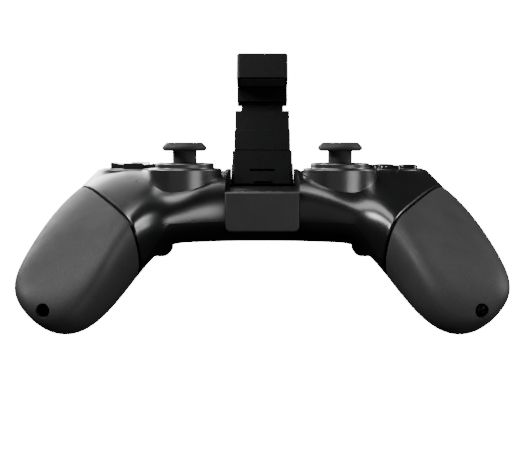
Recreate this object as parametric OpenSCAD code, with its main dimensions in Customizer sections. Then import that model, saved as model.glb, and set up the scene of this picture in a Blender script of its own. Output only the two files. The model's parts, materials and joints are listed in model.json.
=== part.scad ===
// Mobile game controller: a two-grip pad with a folding, telescoping phone clamp.
// The pad is drawn level, its deck near height 0, then tipped back onto its grip ends and trigger tips.

/* [Housing] */
// Width over both grips
housing_w = 159; // [152:1:166]
// Reach of the grips' control cage towards the player, from the stick line
nose_reach = 58; // [56:0.5:61]
// Reach of the housing behind the stick line
tail_reach = 39; // [38.6:0.1:40]
// Depth of the grips' control cage below the deck
grip_drop = 57.5; // [56:0.5:60]
// Wall of the two housing shells
wall = 1.8; // [1.4:0.1:2.2]
// Wall of the grip sleeves
grip_wall = 2.2; // [1.8:0.1:2.6]
// Distance of the grip seam inside the grip's side, on the stick line
seam_in = 16; // [14.5:0.5:17]
// Width of the seam groove between housing and grip
seam_w = 0.8; // [0.4:0.1:1.2]
// Height of the parting line, below the deck
parting_drop = 16; // [15.6:0.1:16.4]
// Tilt of the pad when it stands on a table
rest_tilt = 8; // [7:0.5:9]

/* [Sticks] */
// Radius of the stick's cap
cap_r = 8.2; // [7.6:0.1:8.6]
// Thickness of the cap's rim
cap_t = 3.2; // [2.8:0.1:3.6]
// Radius of the stick's neck
neck_r = 4.4; // [4:0.1:4.5]
// Height of the cap's top above the deck
cap_top = 11.9; // [11.5:0.1:12.5]
// Outer radius of the stick's pod
pod_r = 13.6; // [13.5:0.05:13.7]
// Height of the pod's shoulder above the deck
pod_h = 2.3; // [2:0.1:2.6]
// Outer radius of the raised bezel on the pod
bezel_r = 10.8; // [10.6:0.1:11.2]
// Height of the bezel above the deck
bezel_h = 4.3; // [4:0.1:4.5]
// Depth of the stick's pivot below the deck
pivot_drop = 10; // [9.8:0.1:10.2]

/* [Keys] */
// Web of deck between a stick's pod and its key cluster
key_web = 3.1; // [2.9:0.1:3.6]
// Distance of the key clusters behind the stick line
cluster_y = 22; // [21.8:0.1:22.4]
// Radius of the key clusters' bezels
cluster_r = 14.2; // [14.1:0.05:14.4]
// Height of the key clusters' bezels above the deck
cluster_h = 1.7; // [1.4:0.1:2]
// Span of the direction pad
dpad_span = 20; // [18.5:0.5:20.5]
// Width of the direction pad's arms
dpad_arm = 7.4; // [6.6:0.1:7.8]
// Height of the direction pad's arm ends above the deck
dpad_top = 4; // [3.8:0.1:4.4]
// Radius of the round face buttons
button_r = 4; // [3.8:0.1:4.2]
// Distance of the face buttons from their cluster's centre
button_ring = 8; // [7.9:0.1:8.2]
// Height of the face buttons above the deck
button_h = 3; // [2.8:0.1:3.4]
// Travel of the face buttons
button_travel = 1; // [0.8:0.1:1.1]
// Radius of the four small buttons behind the sticks
small_r = 2.4; // [2:0.1:2.6]

/* [Shoulders] */
// Distance of the triggers' inner side from the middle
trigger_x = 38.6; // [38.4:0.1:39]
// Width of each trigger
trigger_w = 16.6; // [16:0.1:17]
// Radius of the trigger's rounded tip
tip_r = 2.8; // [2.4:0.1:3.2]
// Rounding of the trigger's lower corners
tip_round = 5; // [4:0.5:6]
// Distance of the trigger's tip inside the housing's rear
tip_in = 0.6; // [0.2:0.1:1]
// Radius of the trigger's pin
pin_r = 1.2; // [1:0.05:1.4]
// Height of each bumper
bumper_h = 6.4; // [6:0.1:6.5]
// Travel of the bumpers
bumper_travel = 0.8; // [0.6:0.1:1]

/* [Phone clamp] */
// Inner width of the channel that the clamp folds into
channel_w = 26.4; // [26.3:0.1:26.8]
// Depth of the channel's floor below the deck
floor_drop = 5.6; // [5.5:0.1:5.8]
// Gap between the channel's sides and the clamp's base sleeve
sleeve_gap = 0.4; // [0.35:0.05:0.6]
// Top of the base sleeve along the clamp
sleeve_t = 17.9; // [17.4:0.1:18.6]
// Thickness of the clamp behind the phone
clamp_d = 7; // [6.8:0.1:7.2]
// Step from the base sleeve's side in to the middle slide
middle_in = 0.7; // [0.5:0.1:0.9]
// Step from the base sleeve's side in to the top slide's tongue
tongue_in = 3.6; // [3.5:0.1:4]
// Step from the base sleeve's side in to the top jaw
jaw_in = 1.8; // [1.2:0.1:2]
// Neck that shows between the middle slide and the top jaw's arm
neck_h = 4.3; // [3.8:0.1:5]
// Distance of the clamp's hinge inside the housing's rear
hinge_in = 7.6; // [7.4:0.1:8]
// Height of the top jaw along the clamp
jaw_h = 11.6; // [11:0.1:12.4]
// Reach of the jaws in front of the phone's back
jaw_reach = 10; // [9.8:0.1:10.1]
// Height of the lower jaw along the clamp
lower_h = 8.7; // [8.5:0.1:8.8]
// Lean of the open clamp behind the vertical
clamp_lean = 20; // [18:0.5:22]
// Radius of the clamp's hinge pin
hinge_r = 1.5; // [1.3:0.05:1.7]

/* [Hidden] */

// Overrun of every cut, and the working clearances between pieces
over = 0.6;
run_gap = 0.05;
slide_gap = 0.2;
key_gap = 0.3;
$fn = 48;
far = 3 * housing_w;
half_w = housing_w / 2;
seam_x = half_w - seam_in;
ear_t = 1.6;
pod_gap = 0.3;
stick_x = channel_w / 2 + ear_t + pod_r + pod_gap;
cluster_x = stick_x + sqrt(pow(pod_r + cluster_r + key_web, 2) - pow(cluster_y, 2));

// Outer form: a smooth skin over eight-point rings. Each row is one ring, from the middle to a grip's end:
// place across as a share of half the width; front edge as a share of the nose reach; rear edge as a share
// of the tail reach; four corner heights (top front, top rear, low front, low rear) as shares of the grip
// drop; the deck's ridge (place along the tail reach, height along the grip drop); squareness.
form_shares = [
    [0.000, -0.224, 1.000, 0.022, 0.030, -0.435, -0.470, 0.333, 0.010, 0.96],
    [0.176, -0.224, 1.000, 0.022, 0.030, -0.435, -0.470, 0.333, 0.010, 0.96],
    [0.314, -0.310, 1.000, -0.035, 0.030, -0.435, -0.470, 0.282, 0.015, 0.95],
    [0.428, -0.362, 1.000, -0.110, 0.035, -0.435, -0.470, 0.256, 0.025, 0.92],
    [0.516, -0.517, 1.000, -0.120, 0.050, -0.580, -0.487, 0.231, 0.055, 0.88],
    [0.606, -0.862, 1.000, -0.300, 0.090, -0.845, -0.504, 0.231, 0.100, 0.84],
    [0.704, -1.000, 1.000, -0.452, 0.110, -0.992, -0.522, 0.231, 0.105, 0.81],
    [0.830, -1.000, 0.949, -0.470, 0.070, -0.983, -0.522, 0.179, 0.025, 0.79],
    [0.943, -0.931, 0.795, -0.452, -0.080, -0.800, -0.504, 0.026, -0.139, 0.77],
    [1.000, -0.724, 0.410, -0.470, -0.226, -0.661, -0.522, -0.256, -0.330, 0.76],
];

function corner(s) = [
    [s[1] * nose_reach, s[3] * grip_drop],
    [s[2] * tail_reach, s[4] * grip_drop],
    [s[2] * tail_reach, s[6] * grip_drop],
    [s[1] * nose_reach, s[5] * grip_drop]
];
function heart(q) = (q[0] + q[1] + q[2] + q[3]) / 4;
function ridge(s) = [s[7] * tail_reach, s[8] * grip_drop];
function edges(s, q) = [ridge(s), (q[1] + q[2]) / 2, (q[2] + q[3]) / 2, (q[3] + q[0]) / 2];
function ring(s) = let (q = corner(s), c = heart(q), e = edges(s, q), x = s[0] * half_w)
    [for (i = [0:3]) each [[x, (c + s[9] * (q[i] - c))[0], (c + s[9] * (q[i] - c))[1]], [x, e[i][0], e[i][1]]]];
function mirrored(r) = [for (p = r) [-p[0], p[1], p[2]]];
function opposite(r) = [for (i = [0:7]) r[(i + 4) % 8]];
function middle(r) = let (t = [for (p = r) 1] * r) t / len(r);
function all_one(p) = [for (i = [0:7]) p];
function unit(v) = v / norm(v);

rings = [for (s = form_shares) ring(s)];
rows_n = len(rings);
pole = middle(rings[rows_n - 1]);
function before(i) = i == 0 ? mirrored(rings[1]) : rings[i - 1];
function after(i) = i == rows_n - 1 ? all_one(pole) : rings[i + 1];
function outward(i, k) = let (r = rings[i])
    unit(cross(after(i)[k] - before(i)[k], r[(k + 1) % 8] - r[(k + 7) % 8]));
function inner_ring(i, inset) = [for (k = [0:7]) rings[i][k] - inset * outward(i, k)];
function blend(a, b, c, d, w) = a * w[0] + b * w[1] + c * w[2] + d * w[3];
function weights(t) = [
    pow(1 - t, 3) / 6,
    (3 * pow(t, 3) - 6 * pow(t, 2) + 4) / 6,
    (3 * t * (1 + t - pow(t, 2)) + 1) / 6,
    pow(t, 3) / 6
];
function cage(inset) = let (
    half = [for (i = [0:rows_n - 1]) inner_ring(i, inset)],
    tip = middle(half[rows_n - 1]),
    left = [for (i = [rows_n - 1:-1:1]) mirrored(half[i])]
) concat(
    [mirrored(opposite(half[rows_n - 1])), mirrored(all_one(tip))],
    left, half,
    [all_one(tip), opposite(half[rows_n - 1])]
);
function loops(net, steps) = [
    for (i = [1:len(net) - 3], j = [0:steps - 1]) let (w = weights(j / steps))
        [for (k = [0:7]) blend(net[i - 1][k], net[i][k], net[i + 1][k], net[i + 2][k], w)],
    let (m = len(net) - 1) [for (k = [0:7]) blend(net[m - 3][k], net[m - 2][k], net[m - 1][k], net[m][k], weights(1))]
];
function round_loop(r, steps) = [
    for (k = [0:7], j = [0:steps - 1]) let (w = weights(j / steps))
        blend(r[(k + 7) % 8], r[k], r[(k + 1) % 8], r[(k + 2) % 8], w)
];
function skin_loops(inset, across, around) = [for (r = loops(cage(inset), across)) round_loop(r, around)];

// The form as a closed skin: a flat end, strips between, and another flat end. skip leaves out the first loops.
module form(inset, across, around, skip) {
    f = skin_loops(inset, across, around);
    n = len(f);
    c = 8 * around;
    strips = [for (i = [skip:n - 3], j = [0:c - 1]) let (a = i * c + j, b = i * c + (j + 1) % c)
        each [[a, b, b + c], [a, b + c, a + c]]];
    first = [for (j = [c - 1:-1:0]) skip * c + j];
    last = [for (j = [0:c - 1]) (n - 2) * c + j];
    polyhedron([for (r = f) each r], concat([first], [last], strips));
}
module skin() form(0, 3, 3, 1);
module hollow(inset) form(inset, 2, 2, 1);
module half_skin() form(0, 3, 3, 3 * rows_n);
module half_hollow(inset) form(inset, 2, 2, 2 * rows_n);

module other_side() {
    mirror([1, 0, 0]) children();
}
module both_sides() {
    children();
    other_side() children();
}
module brick(x0, x1, y0, y1, z0, z1) {
    translate([x0, y0, z0]) cube([x1 - x0, y1 - y0, z1 - z0]);
}
module post(x, y, z0, z1, r) {
    translate([x, y, z0]) cylinder(h = z1 - z0, r = r);
}
module rod(a, b, r) {
    d = b - a;
    translate(a) rotate([0, acos(d[2] / norm(d)), atan2(d[1], d[0])]) cylinder(h = norm(d), r = r);
}
// A flat outline in Y and Z, drawn out along X
module side_profile(x0, x1, outline) {
    translate([x0, 0, 0]) rotate([90, 0, 90]) linear_extrude(x1 - x0) polygon(outline);
}
module slab(w, h, r) {
    square([w - 2 * r, h], center = true);
    square([w, h - 2 * r], center = true);
    for (x = [-1, 1], y = [-1, 1]) translate([x * (w / 2 - r), y * (h / 2 - r)]) circle(r = r);
}

// Clamp frame: z runs up the clamp from its foot, -y faces the phone, the hinge lies inside the lower jaw
hinge_t = 1.5;
hinge_u = jaw_reach / 2;
hook_gap = 0.4;
nose_y = -13;
block_proud = 0.7;
block_front = nose_y - block_proud;
hinge_y = tail_reach - hinge_in;
jaw_t = hinge_y + hinge_t - block_front + hook_gap;
clamp_top = jaw_t + jaw_h;
arm_h = 6.2;
middle_t = jaw_t - arm_h - neck_h;
sleeve_w = channel_w - 2 * sleeve_gap;
middle_w = sleeve_w - 2 * middle_in;
tongue_w = sleeve_w - 2 * tongue_in;
jaw_w = sleeve_w - 2 * jaw_in;
hinge_rise = 0.5;
hinge_z = hinge_rise - floor_drop;
module clamp_place() {
    translate([0, hinge_y, hinge_z]) rotate([-clamp_lean, 0, 0]) translate([0, hinge_u, -hinge_t]) children();
}
function clamp_point(t, u) = [
    hinge_y + (t - hinge_t) * sin(clamp_lean) - (u - hinge_u) * cos(clamp_lean),
    hinge_z + (t - hinge_t) * cos(clamp_lean) + (u - hinge_u) * sin(clamp_lean)
];

// Resting frame: tipped back, grip ends and trigger tips at height 0, origin under the middle of the box
function tipped(p) = [p[0] * cos(rest_tilt) + p[1] * sin(rest_tilt), p[1] * cos(rest_tilt) - p[0] * sin(rest_tilt)];
rest_points = [for (r = skin_loops(0, 3, 3)) each [for (p = r) tipped([p[1], p[2]])]];
rest_low = min([for (p = rest_points) p[1]]);
rest_front = min([for (p = rest_points) p[0]]);
arm_back = 0.6;
tip_y = tail_reach - tip_in;
rest_rear = tipped(clamp_point(clamp_top, arm_back - clamp_d))[0];
tip_z = (rest_low + tip_r + tip_y * sin(rest_tilt)) / cos(rest_tilt);
module seated() {
    translate([0, -(rest_front + rest_rear) / 2, -rest_low]) rotate([-rest_tilt, 0, 0]) children();
}

// Seam between housing and grip, and the parting line between the two shells
seam_turn = 38;
seam_dip = 8;
module beyond_seam(shift) {
    translate([seam_x, 0, 0]) rotate([0, seam_dip, -seam_turn]) translate([shift, -far / 2, -far / 2]) cube(far);
}
part_x = 32;
part_low_x = 39.5;
part_low_z = -27;
parting_line = [
    [far / 2, part_low_z], [part_low_x, part_low_z], [part_x, -parting_drop],
    [-part_x, -parting_drop], [-part_low_x, part_low_z], [-far / 2, part_low_z]
];
module split_at_parting(end) {
    rotate([90, 0, 0]) translate([0, 0, -far / 2]) linear_extrude(far)
        polygon(concat([[-far / 2, end], [far / 2, end]], parting_line));
}

// Channel and cradle of the clamp
floor_t = 1.6;
ear_h = 1;
block_t = 3.2;
block_drop = 14.1;
block_corner = 2;
block_back = block_front + block_t;
knuckle_r = 3.8;
bay_r = 9.2;
cradle_end = tail_reach - wall - key_gap;
cradle_low = hinge_z - bay_r - floor_t;
ear_out = channel_w / 2 + ear_t;

// Screws that join the two shells: rear pair, front pair
screw_r = 1.2;
screw_head_r = 2.2;
screw_head_t = 1.6;
screw_boss_r = 2.9;
screw_grip = 9;
rear_screw = [21, tail_reach - 6.8, -21.5];
front_screw = [0.541 * half_w, -10.5, -32.2];
screw_spots = [rear_screw, front_screw];
board_t = 1.6;
board_top = -17.4;
board_x = 36.4;
board_front = -9.4;
board_rear = tail_reach - 5;
stud_r = 2;
stud_spots = [[29, 15], [12, -6.5], [12, tail_reach - 8]];

// Arms that carry the grips, and their screws
tip_screw_x = half_w - 13.8;
tip_screw_z = -38.3;
tip_wall = 2.6;
tip_front = -0.925 * nose_reach;
tip_seat = tip_front + tip_wall + grip_wall;
tip_boss_r = 4.2;
tip_hole_r = 2.15;
arm_r = 5;
arm_bore_r = 3.6;
arm_root = [half_w - 26.5, -6, -20];
arm_open_share = 0.03;
arm_deep_share = 0.7;
arm_end = [tip_screw_x, tip_seat + 2 * tip_boss_r, tip_screw_z];

// Shoulder pieces
bay_gap = key_gap;
bay_wall = 1.4;
hub_y = tail_reach - 11;
hub_z = -20.5;
hub_r = 3.2;
hub_top = hub_z + hub_r + bay_gap;
shroud_top = hub_z + 1.6;
bay_x0 = trigger_x - bay_gap;
bay_x1 = trigger_x + trigger_w + bay_gap;
bumper_top = -10.7;
bumper_z = bumper_top - bumper_h;
bumper_front = tail_reach - 5.6;
bumper_lift = 0.5;
bumper_bay_y = bumper_front - bumper_travel - bay_gap;

// Key stacks
bezel_base = -9.4;
bezel_wall = 1.2;
bezel_t = 1.2;
key_board_z = -8.6;
key_board_t = 1.2;
sheet_t = 0.8;
key_foot = -3.4;
flange_t = 1;
flange_lip = 0.8;
dpad_gap = 0.8;
small_x = 24.4;
small_pitch = 7.6;
small_y = pod_r + 4;
small_spots = [[small_x, small_y], [small_x, small_y + small_pitch]];
small_top = 1.7;
small_depth = 6;
small_travel = 0.4;
small_shoulder = -2.1;
collar_rim = 1;
collar_rear = 16.4;
collar_reach = 22;

module internals() {
    // Everything inside that the moulded cavity leaves standing: bay walls, screw posts
    both_sides() {
        brick(bay_x0 - bay_wall, bay_x1 + bay_wall, hub_y - hub_r - bay_gap - bay_wall, far, -far, hub_top + bay_wall);
        brick(bay_x0 - bay_wall, bay_x1 + bay_wall, bumper_bay_y - bay_wall, far, -far, bumper_top + bay_gap + bay_wall / 2);
        for (s = screw_spots) post(s[0], s[1], -far, far, screw_boss_r);
        for (p = stud_spots) post(p[0], p[1], -far, board_top - board_t, stud_r);
        beyond_seam(-seam_w / 2 - wall);
    }
}
module key_collar() {
    // The deck swells up to the key clusters: a steep cone, kept short at the rear
    low = bumper_top + bay_gap;
    high = cluster_h - pod_edge;
    intersection() {
        translate([cluster_x, cluster_y, low])
            cylinder(h = high - low, r1 = cluster_r + collar_rim + high - low, r2 = cluster_r + collar_rim);
        post(cluster_x, cluster_y + collar_rear - collar_reach, low, high, collar_reach);
    }
}
module shell() {
    difference() {
        union() {
            skin();
            both_sides() key_collar();
        }
        difference() {
            hollow(wall);
            internals();
        }
        beyond_seam(-seam_w / 2);
        other_side() beyond_seam(-seam_w / 2);
        block_pocket();
        both_sides() {
            shoulder_bays();
            for (s = screw_spots) {
                post(s[0], s[1], s[2] - screw_head_t - over, s[2] + screw_grip + over, screw_r + run_gap);
                post(s[0], s[1], -far, s[2], screw_head_r + run_gap);
            }
        }
        usb_slot(run_gap);
    }
}
module block_pocket() {
    brick(-channel_w / 2 - run_gap, channel_w / 2 + run_gap, -far, block_back, -floor_drop - block_drop - run_gap, far);
}
module shoulder_bays() {
    brick(bay_x0, bay_x1, hub_y - hub_r - bay_gap, bumper_bay_y - bay_wall, -far, hub_top);
    brick(bay_x0, bay_x1, hub_y, far, -far, shroud_top + bay_gap);
    brick(bay_x0, bay_x1, bumper_bay_y, far, bumper_z - bay_gap, bumper_top + bay_gap);
    rod([bay_x0 - bay_wall, hub_y, hub_z], [bay_x1 + bay_wall, hub_y, hub_z], pin_r + run_gap / 5);
}
module top_housing() {
    color([0.13, 0.13, 0.14]) difference() {
        union() {
            intersection() {
                shell();
                split_at_parting(far);
            }
            both_sides() grip_arm();
        }
        brick(-ear_out, ear_out, block_back, far, -floor_drop - floor_t, far);
        brick(-ear_out, ear_out, hinge_y - bay_r - floor_t, far, cradle_low, far);
        both_sides() {
            post(stick_x, 0, -far, far, pod_r + run_gap);
            post(cluster_x, cluster_y, bezel_base, far, cluster_r + run_gap);
            for (p = small_spots) post(p[0], p[1], -small_depth - over, far, small_r + bay_gap);
        }
    }
}
module bottom_housing() {
    color([0.07, 0.07, 0.08]) difference() {
        intersection() {
            shell();
            split_at_parting(-far);
        }
        both_sides() rod(arm_root, arm_end, arm_r + key_gap);
    }
}
module grip_arm() {
    difference() {
        union() {
            rod(arm_root, arm_end, arm_r);
            rod([arm_end[0], tip_seat, arm_end[2]], arm_end + [0, arm_r / 2, 0], tip_boss_r);
        }
        rod(arm_root - arm_open_share * (arm_end - arm_root), arm_root + arm_deep_share * (arm_end - arm_root), arm_bore_r);
        rod([arm_end[0], tip_seat - over, arm_end[2]], arm_end + [0, arm_r / 4, 0], screw_r + run_gap / 5);
    }
}

// Grip sleeves: open towards the housing, seated on the arm's end and held there by one screw
module grip_sleeve() {
    difference() {
        union() {
            intersection() {
                difference() {
                    half_skin();
                    half_hollow(grip_wall);
                }
                beyond_seam(seam_w / 2);
            }
            rod([tip_screw_x, tip_front + grip_wall / 2, tip_screw_z], [tip_screw_x, tip_seat, tip_screw_z], tip_boss_r);
        }
        rod([tip_screw_x, -far, tip_screw_z], [tip_screw_x, tip_front + tip_wall, tip_screw_z], tip_hole_r);
        rod([tip_screw_x, -far, tip_screw_z], [tip_screw_x, tip_seat + over, tip_screw_z], screw_r + run_gap);
    }
}
module right_grip() {
    color([0.1, 0.1, 0.1]) grip_sleeve();
}
module left_grip() {
    other_side() right_grip();
}
module grip_screws() {
    seat = tip_front + tip_wall;
    color([0.45, 0.45, 0.47]) both_sides() {
        rod([tip_screw_x, seat - screw_head_t, tip_screw_z], [tip_screw_x, seat, tip_screw_z], tip_hole_r - slide_gap);
        rod([tip_screw_x, seat, tip_screw_z], [tip_screw_x, seat + screw_grip, tip_screw_z], screw_r);
    }
}
module housing_screws() {
    color([0.45, 0.45, 0.47]) both_sides() for (s = screw_spots) {
        post(s[0], s[1], s[2] - screw_head_t, s[2], screw_head_r);
        post(s[0], s[1], s[2], s[2] + screw_grip, screw_r);
    }
}

module front_block() {
    color([0.25, 0.25, 0.26]) translate([0, block_back, -floor_drop - block_drop / 2]) rotate([90, 0, 0])
        linear_extrude(block_t) slab(channel_w, block_drop, block_corner);
}

// Cradle: the channel's floor, its two ears, and the round pocket that the lower jaw turns in
ear_shares = [[0, 0.36], [0.05, 0.62], [0.12, 0.8], [0.22, 0.92], [0.45, 0.98], [0.68, 1], [0.97, 1], [1, 0.9]];
light_r = 0.9;
light_pitch = 4;
light_y = block_back + light_pitch / 2;
light_places = [for (i = [-1.5:1:1.5]) i * light_pitch];
light_t = floor_t;
module clamp_cradle() {
    low = -floor_drop - floor_t;
    ear_points = [for (s = ear_shares)
        [block_back + s[0] * (cradle_end - block_back), -floor_drop + s[1] * (floor_drop + ear_h)]];
    color([0.06, 0.06, 0.07]) difference() {
        union() {
            brick(-ear_out, ear_out, block_back, cradle_end, low, -floor_drop);
            brick(-ear_out, ear_out, hinge_y - bay_r - floor_t, cradle_end, cradle_low, -floor_drop);
            both_sides() side_profile(channel_w / 2, ear_out, concat(ear_points, [[cradle_end, low], [block_back, low]]));
        }
        rod([-channel_w / 2, hinge_y, hinge_z], [channel_w / 2, hinge_y, hinge_z], bay_r);
        rod([-ear_out - over, hinge_y, hinge_z], [ear_out + over, hinge_y, hinge_z], hinge_r + run_gap / 5);
        for (x = light_places) post(x, light_y, low - over, -floor_drop + over, light_r + run_gap);
    }
}
module status_lights() {
    color([0.75, 0.8, 0.85]) for (x = light_places) post(x, light_y, -floor_drop - light_t, -floor_drop, light_r);
}
module clamp_pin() {
    color([0.6, 0.6, 0.62]) rod([-ear_out, hinge_y, hinge_z], [ear_out, hinge_y, hinge_z], hinge_r);
}

// Electronics
switch_r = 2;
switch_top = -5.7;
battery_x = 13.4;
battery_h = 7;
battery_end_gap = 0.6;
usb_x = 29;
usb_w = 8;
usb_h = 2.8;
usb_d = 8.6;
usb_wall = 0.4;
module main_board() {
    color([0.05, 0.25, 0.15]) difference() {
        union() {
            brick(-board_x, board_x, board_front, board_rear, board_top - board_t, board_top);
            both_sides() for (p = small_spots) post(p[0], p[1], board_top, switch_top, switch_r);
        }
        both_sides() post(rear_screw[0], rear_screw[1], -far, board_top + over, screw_boss_r + key_gap);
    }
}
module battery() {
    top = -floor_drop - floor_t - battery_end_gap;
    color([0.3, 0.35, 0.6]) brick(-battery_x, battery_x, block_back + light_pitch, hinge_y - bay_r - floor_t - battery_end_gap,
        top - battery_h, top);
}
module usb_slot(gap) {
    rear = tail_reach + over;
    brick(usb_x - usb_w / 2 - gap, usb_x + usb_w / 2 + gap, rear - usb_d, rear, board_top - gap, board_top + usb_h + gap);
}
module usb_port() {
    color([0.7, 0.7, 0.72]) difference() {
        brick(usb_x - usb_w / 2, usb_x + usb_w / 2, tail_reach - usb_d, tail_reach - wall, board_top, board_top + usb_h);
        brick(usb_x - usb_w / 2 + usb_wall, usb_x + usb_w / 2 - usb_wall, tail_reach - usb_d + usb_d / 3, far,
            board_top + usb_wall, board_top + usb_h - usb_wall);
    }
}

// Stick assembly, drawn about the stick's own axis
pod_base = 9.5;
pod_wall = 1.2;
pod_edge = 0.5;
bezel_edge = 0.3;
mouth_r = 9.2;
lip_z = 0;
module stick_pod() {
    color([0.16, 0.16, 0.17]) rotate_extrude() polygon([
        [pod_r - pod_wall, -pod_base], [pod_r, -pod_base], [pod_r, pod_h - pod_edge], [pod_r - pod_edge, pod_h],
        [bezel_r, pod_h], [bezel_r, bezel_h - bezel_edge], [bezel_r - bezel_edge, bezel_h],
        [mouth_r + bezel_edge, bezel_h], [mouth_r, bezel_h - bezel_edge], [mouth_r, lip_z], [pod_r - pod_wall, lip_z]
    ]);
}
module_half = 8.2;
module_wall = 1.4;
module_floor = 1.2;
module_rise = 2;
gimbal_pin_r = 1;
ring_x = 5.9;
ring_y = 4.6;
ring_wall = 1.3;
ring_h = 3;
block_pin_r = 0.8;
gimbal_half = 2.9;
gimbal_h = 3.4;
stem_r = 1.6;
stem_low = 3;
stem_top = 16;
module stick_module() {
    inner = module_half - module_wall;
    color([0.2, 0.2, 0.22]) difference() {
        brick(-module_half, module_half, -module_half, module_half, board_top, module_rise - pivot_drop);
        brick(-inner, inner, -inner, inner, board_top + module_floor, far);
        rod([-far, 0, -pivot_drop], [far, 0, -pivot_drop], gimbal_pin_r + run_gap);
    }
}
module gimbal_ring() {
    color([0.7, 0.7, 0.7]) translate([0, 0, -pivot_drop]) difference() {
        union() {
            cube([2 * ring_x, 2 * ring_y, ring_h], center = true);
            rod([-module_half, 0, 0], [module_half, 0, 0], gimbal_pin_r);
        }
        cube([2 * (ring_x - ring_wall), 2 * (ring_y - ring_wall), far], center = true);
        rod([0, -far, 0], [0, far, 0], block_pin_r + run_gap);
    }
}
module gimbal_block() {
    color([0.5, 0.5, 0.5]) translate([0, 0, -pivot_drop]) difference() {
        union() {
            cube([2 * gimbal_half, 2 * gimbal_half, gimbal_h], center = true);
            rod([0, -ring_y, 0], [0, ring_y, 0], block_pin_r);
        }
        cylinder(h = far, r = stem_r + run_gap, center = true);
    }
}
module stick_stem() {
    color([0.75, 0.75, 0.75]) post(0, 0, -pivot_drop - stem_low, stem_top - pivot_drop, stem_r);
}
dome_r = 12.6;
dome_t = 1;
dome_turn = 57;
cap_edge = 0.9;
dish_rise = 60;
cap_dish = 0.5;
module stick_cap() {
    under = cap_top - cap_t;
    color([0.12, 0.12, 0.13]) difference() {
        union() {
            rotate_extrude() polygon([
                [0, under - over], [neck_r, under - over], [neck_r, under], [cap_r - cap_edge, under], [cap_r, under + cap_edge],
                [cap_r, cap_top - 2 * cap_edge], [cap_r - 2 * cap_edge, cap_top], [0, cap_top]
            ]);
            post(0, 0, dome_r - dome_t / 2 - pivot_drop, under, neck_r);
            translate([0, 0, -pivot_drop]) rotate_extrude() intersection() {
                difference() {
                    circle(r = dome_r);
                    circle(r = dome_r - dome_t);
                }
                polygon([[0, 0], [far * sin(dome_turn), far * cos(dome_turn)], [0, far]]);
            }
            post(0, 0, dome_r - 4 * dome_t - pivot_drop, dome_r - dome_t / 2 - pivot_drop, 2 * stem_r);
        }
        post(0, 0, -pivot_drop, stem_top - pivot_drop, stem_r + run_gap / 5);
        translate([0, 0, cap_top - cap_dish + dish_rise]) sphere(r = dish_rise, $fn = 96);
    }
}
module at_stick() {
    translate([stick_x, 0, 0]) children();
}

// Key clusters, drawn about the cluster's own axis
key_edge = 0.6;
dome_key_r = 2.2;
dome_key_gap = 0.3;
dpad_foot = -2;
dpad_stem_r = 2.6;
dpad_ball_r = 1.5;
dpad_pivot_z = -3.6;
dpad_dish = 1.2;
dpad_round = 1;
dpad_dome_r = 6.6;
dpad_dome_gap = 0.8;
ball_post_r = 1.2;
key_stem_r = 2.6;
module cluster_bezel() {
    inner = cluster_r - bezel_wall;
    rotate_extrude() polygon([
        [inner, bezel_base], [cluster_r, bezel_base], [cluster_r, cluster_h - pod_edge], [cluster_r - pod_edge, cluster_h],
        [0, cluster_h], [0, cluster_h - bezel_t], [inner, cluster_h - bezel_t]
    ]);
}
module dpad_bezel() {
    color([0.16, 0.16, 0.17]) difference() {
        cluster_bezel();
        translate([0, 0, -bezel_t]) linear_extrude(far) cross(dpad_gap);
    }
}
module button_bezel() {
    color([0.16, 0.16, 0.17]) difference() {
        cluster_bezel();
        for (p = key_spots(button_ring)) post(p[0], p[1], -bezel_t, far, button_r + key_gap);
    }
}
function key_spots(r) = [[0, r], [0, -r], [-r, 0], [r, 0]];
module cross(grow) {
    for (a = [0, 90]) rotate(a) slab(dpad_span + 2 * grow, dpad_arm + 2 * grow, dpad_round);
}
module key_board() {
    color([0.05, 0.25, 0.15]) post(0, 0, key_board_z, key_board_z + key_board_t, cluster_r - bezel_wall - run_gap);
}
module dpad_board() {
    // Carries the short post that the direction pad's ball turns on
    key_board();
    color([0.05, 0.25, 0.15]) post(0, 0, key_board_z, dpad_pivot_z - dpad_ball_r - run_gap, ball_post_r);
}
module dpad_pivot() {
    color([0.7, 0.7, 0.7]) translate([0, 0, dpad_pivot_z]) sphere(r = dpad_ball_r);
}
module dpad_membrane() {
    color([0.6, 0.6, 0.6]) difference() {
        key_sheet(dpad_dome_r, dpad_foot - dpad_dome_gap);
        cylinder(h = far, r = ball_post_r + run_gap, center = true);
    }
}
module button_membrane() {
    key_sheet(button_ring, key_foot - button_travel - dome_key_gap);
}
module key_sheet(spot_r, dome_top) {
    low = key_board_z + key_board_t;
    color([0.6, 0.6, 0.6]) {
        post(0, 0, low, low + sheet_t, cluster_r - bezel_wall - run_gap);
        for (p = key_spots(spot_r)) post(p[0], p[1], low, dome_top, dome_key_r);
    }
}
module face_button() {
    flange = cluster_h - bezel_t - key_gap;
    color([0.15, 0.15, 0.16]) rotate_extrude() polygon([
        [0, key_foot], [key_stem_r, key_foot], [key_stem_r, flange - flange_t], [button_r + flange_lip, flange - flange_t],
        [button_r + flange_lip, flange], [button_r, flange], [button_r, button_h - key_edge],
        [button_r - key_edge, button_h], [0, button_h]
    ]);
}
module dpad_key() {
    rise = (dpad_span * dpad_span / 4 + dpad_dish * dpad_dish) / (2 * dpad_dish);
    color([0.11, 0.11, 0.12]) difference() {
        union() {
            translate([0, 0, dpad_foot]) linear_extrude(dpad_top - dpad_foot) cross(0);
            post(0, 0, dpad_pivot_z, dpad_foot + over, dpad_stem_r);
        }
        translate([0, 0, dpad_top - dpad_dish + rise]) sphere(r = rise, $fn = 96);
        translate([0, 0, dpad_pivot_z]) sphere(r = dpad_ball_r + run_gap);
    }
}
module at_keys() {
    translate([cluster_x, cluster_y, 0]) children();
}
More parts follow.
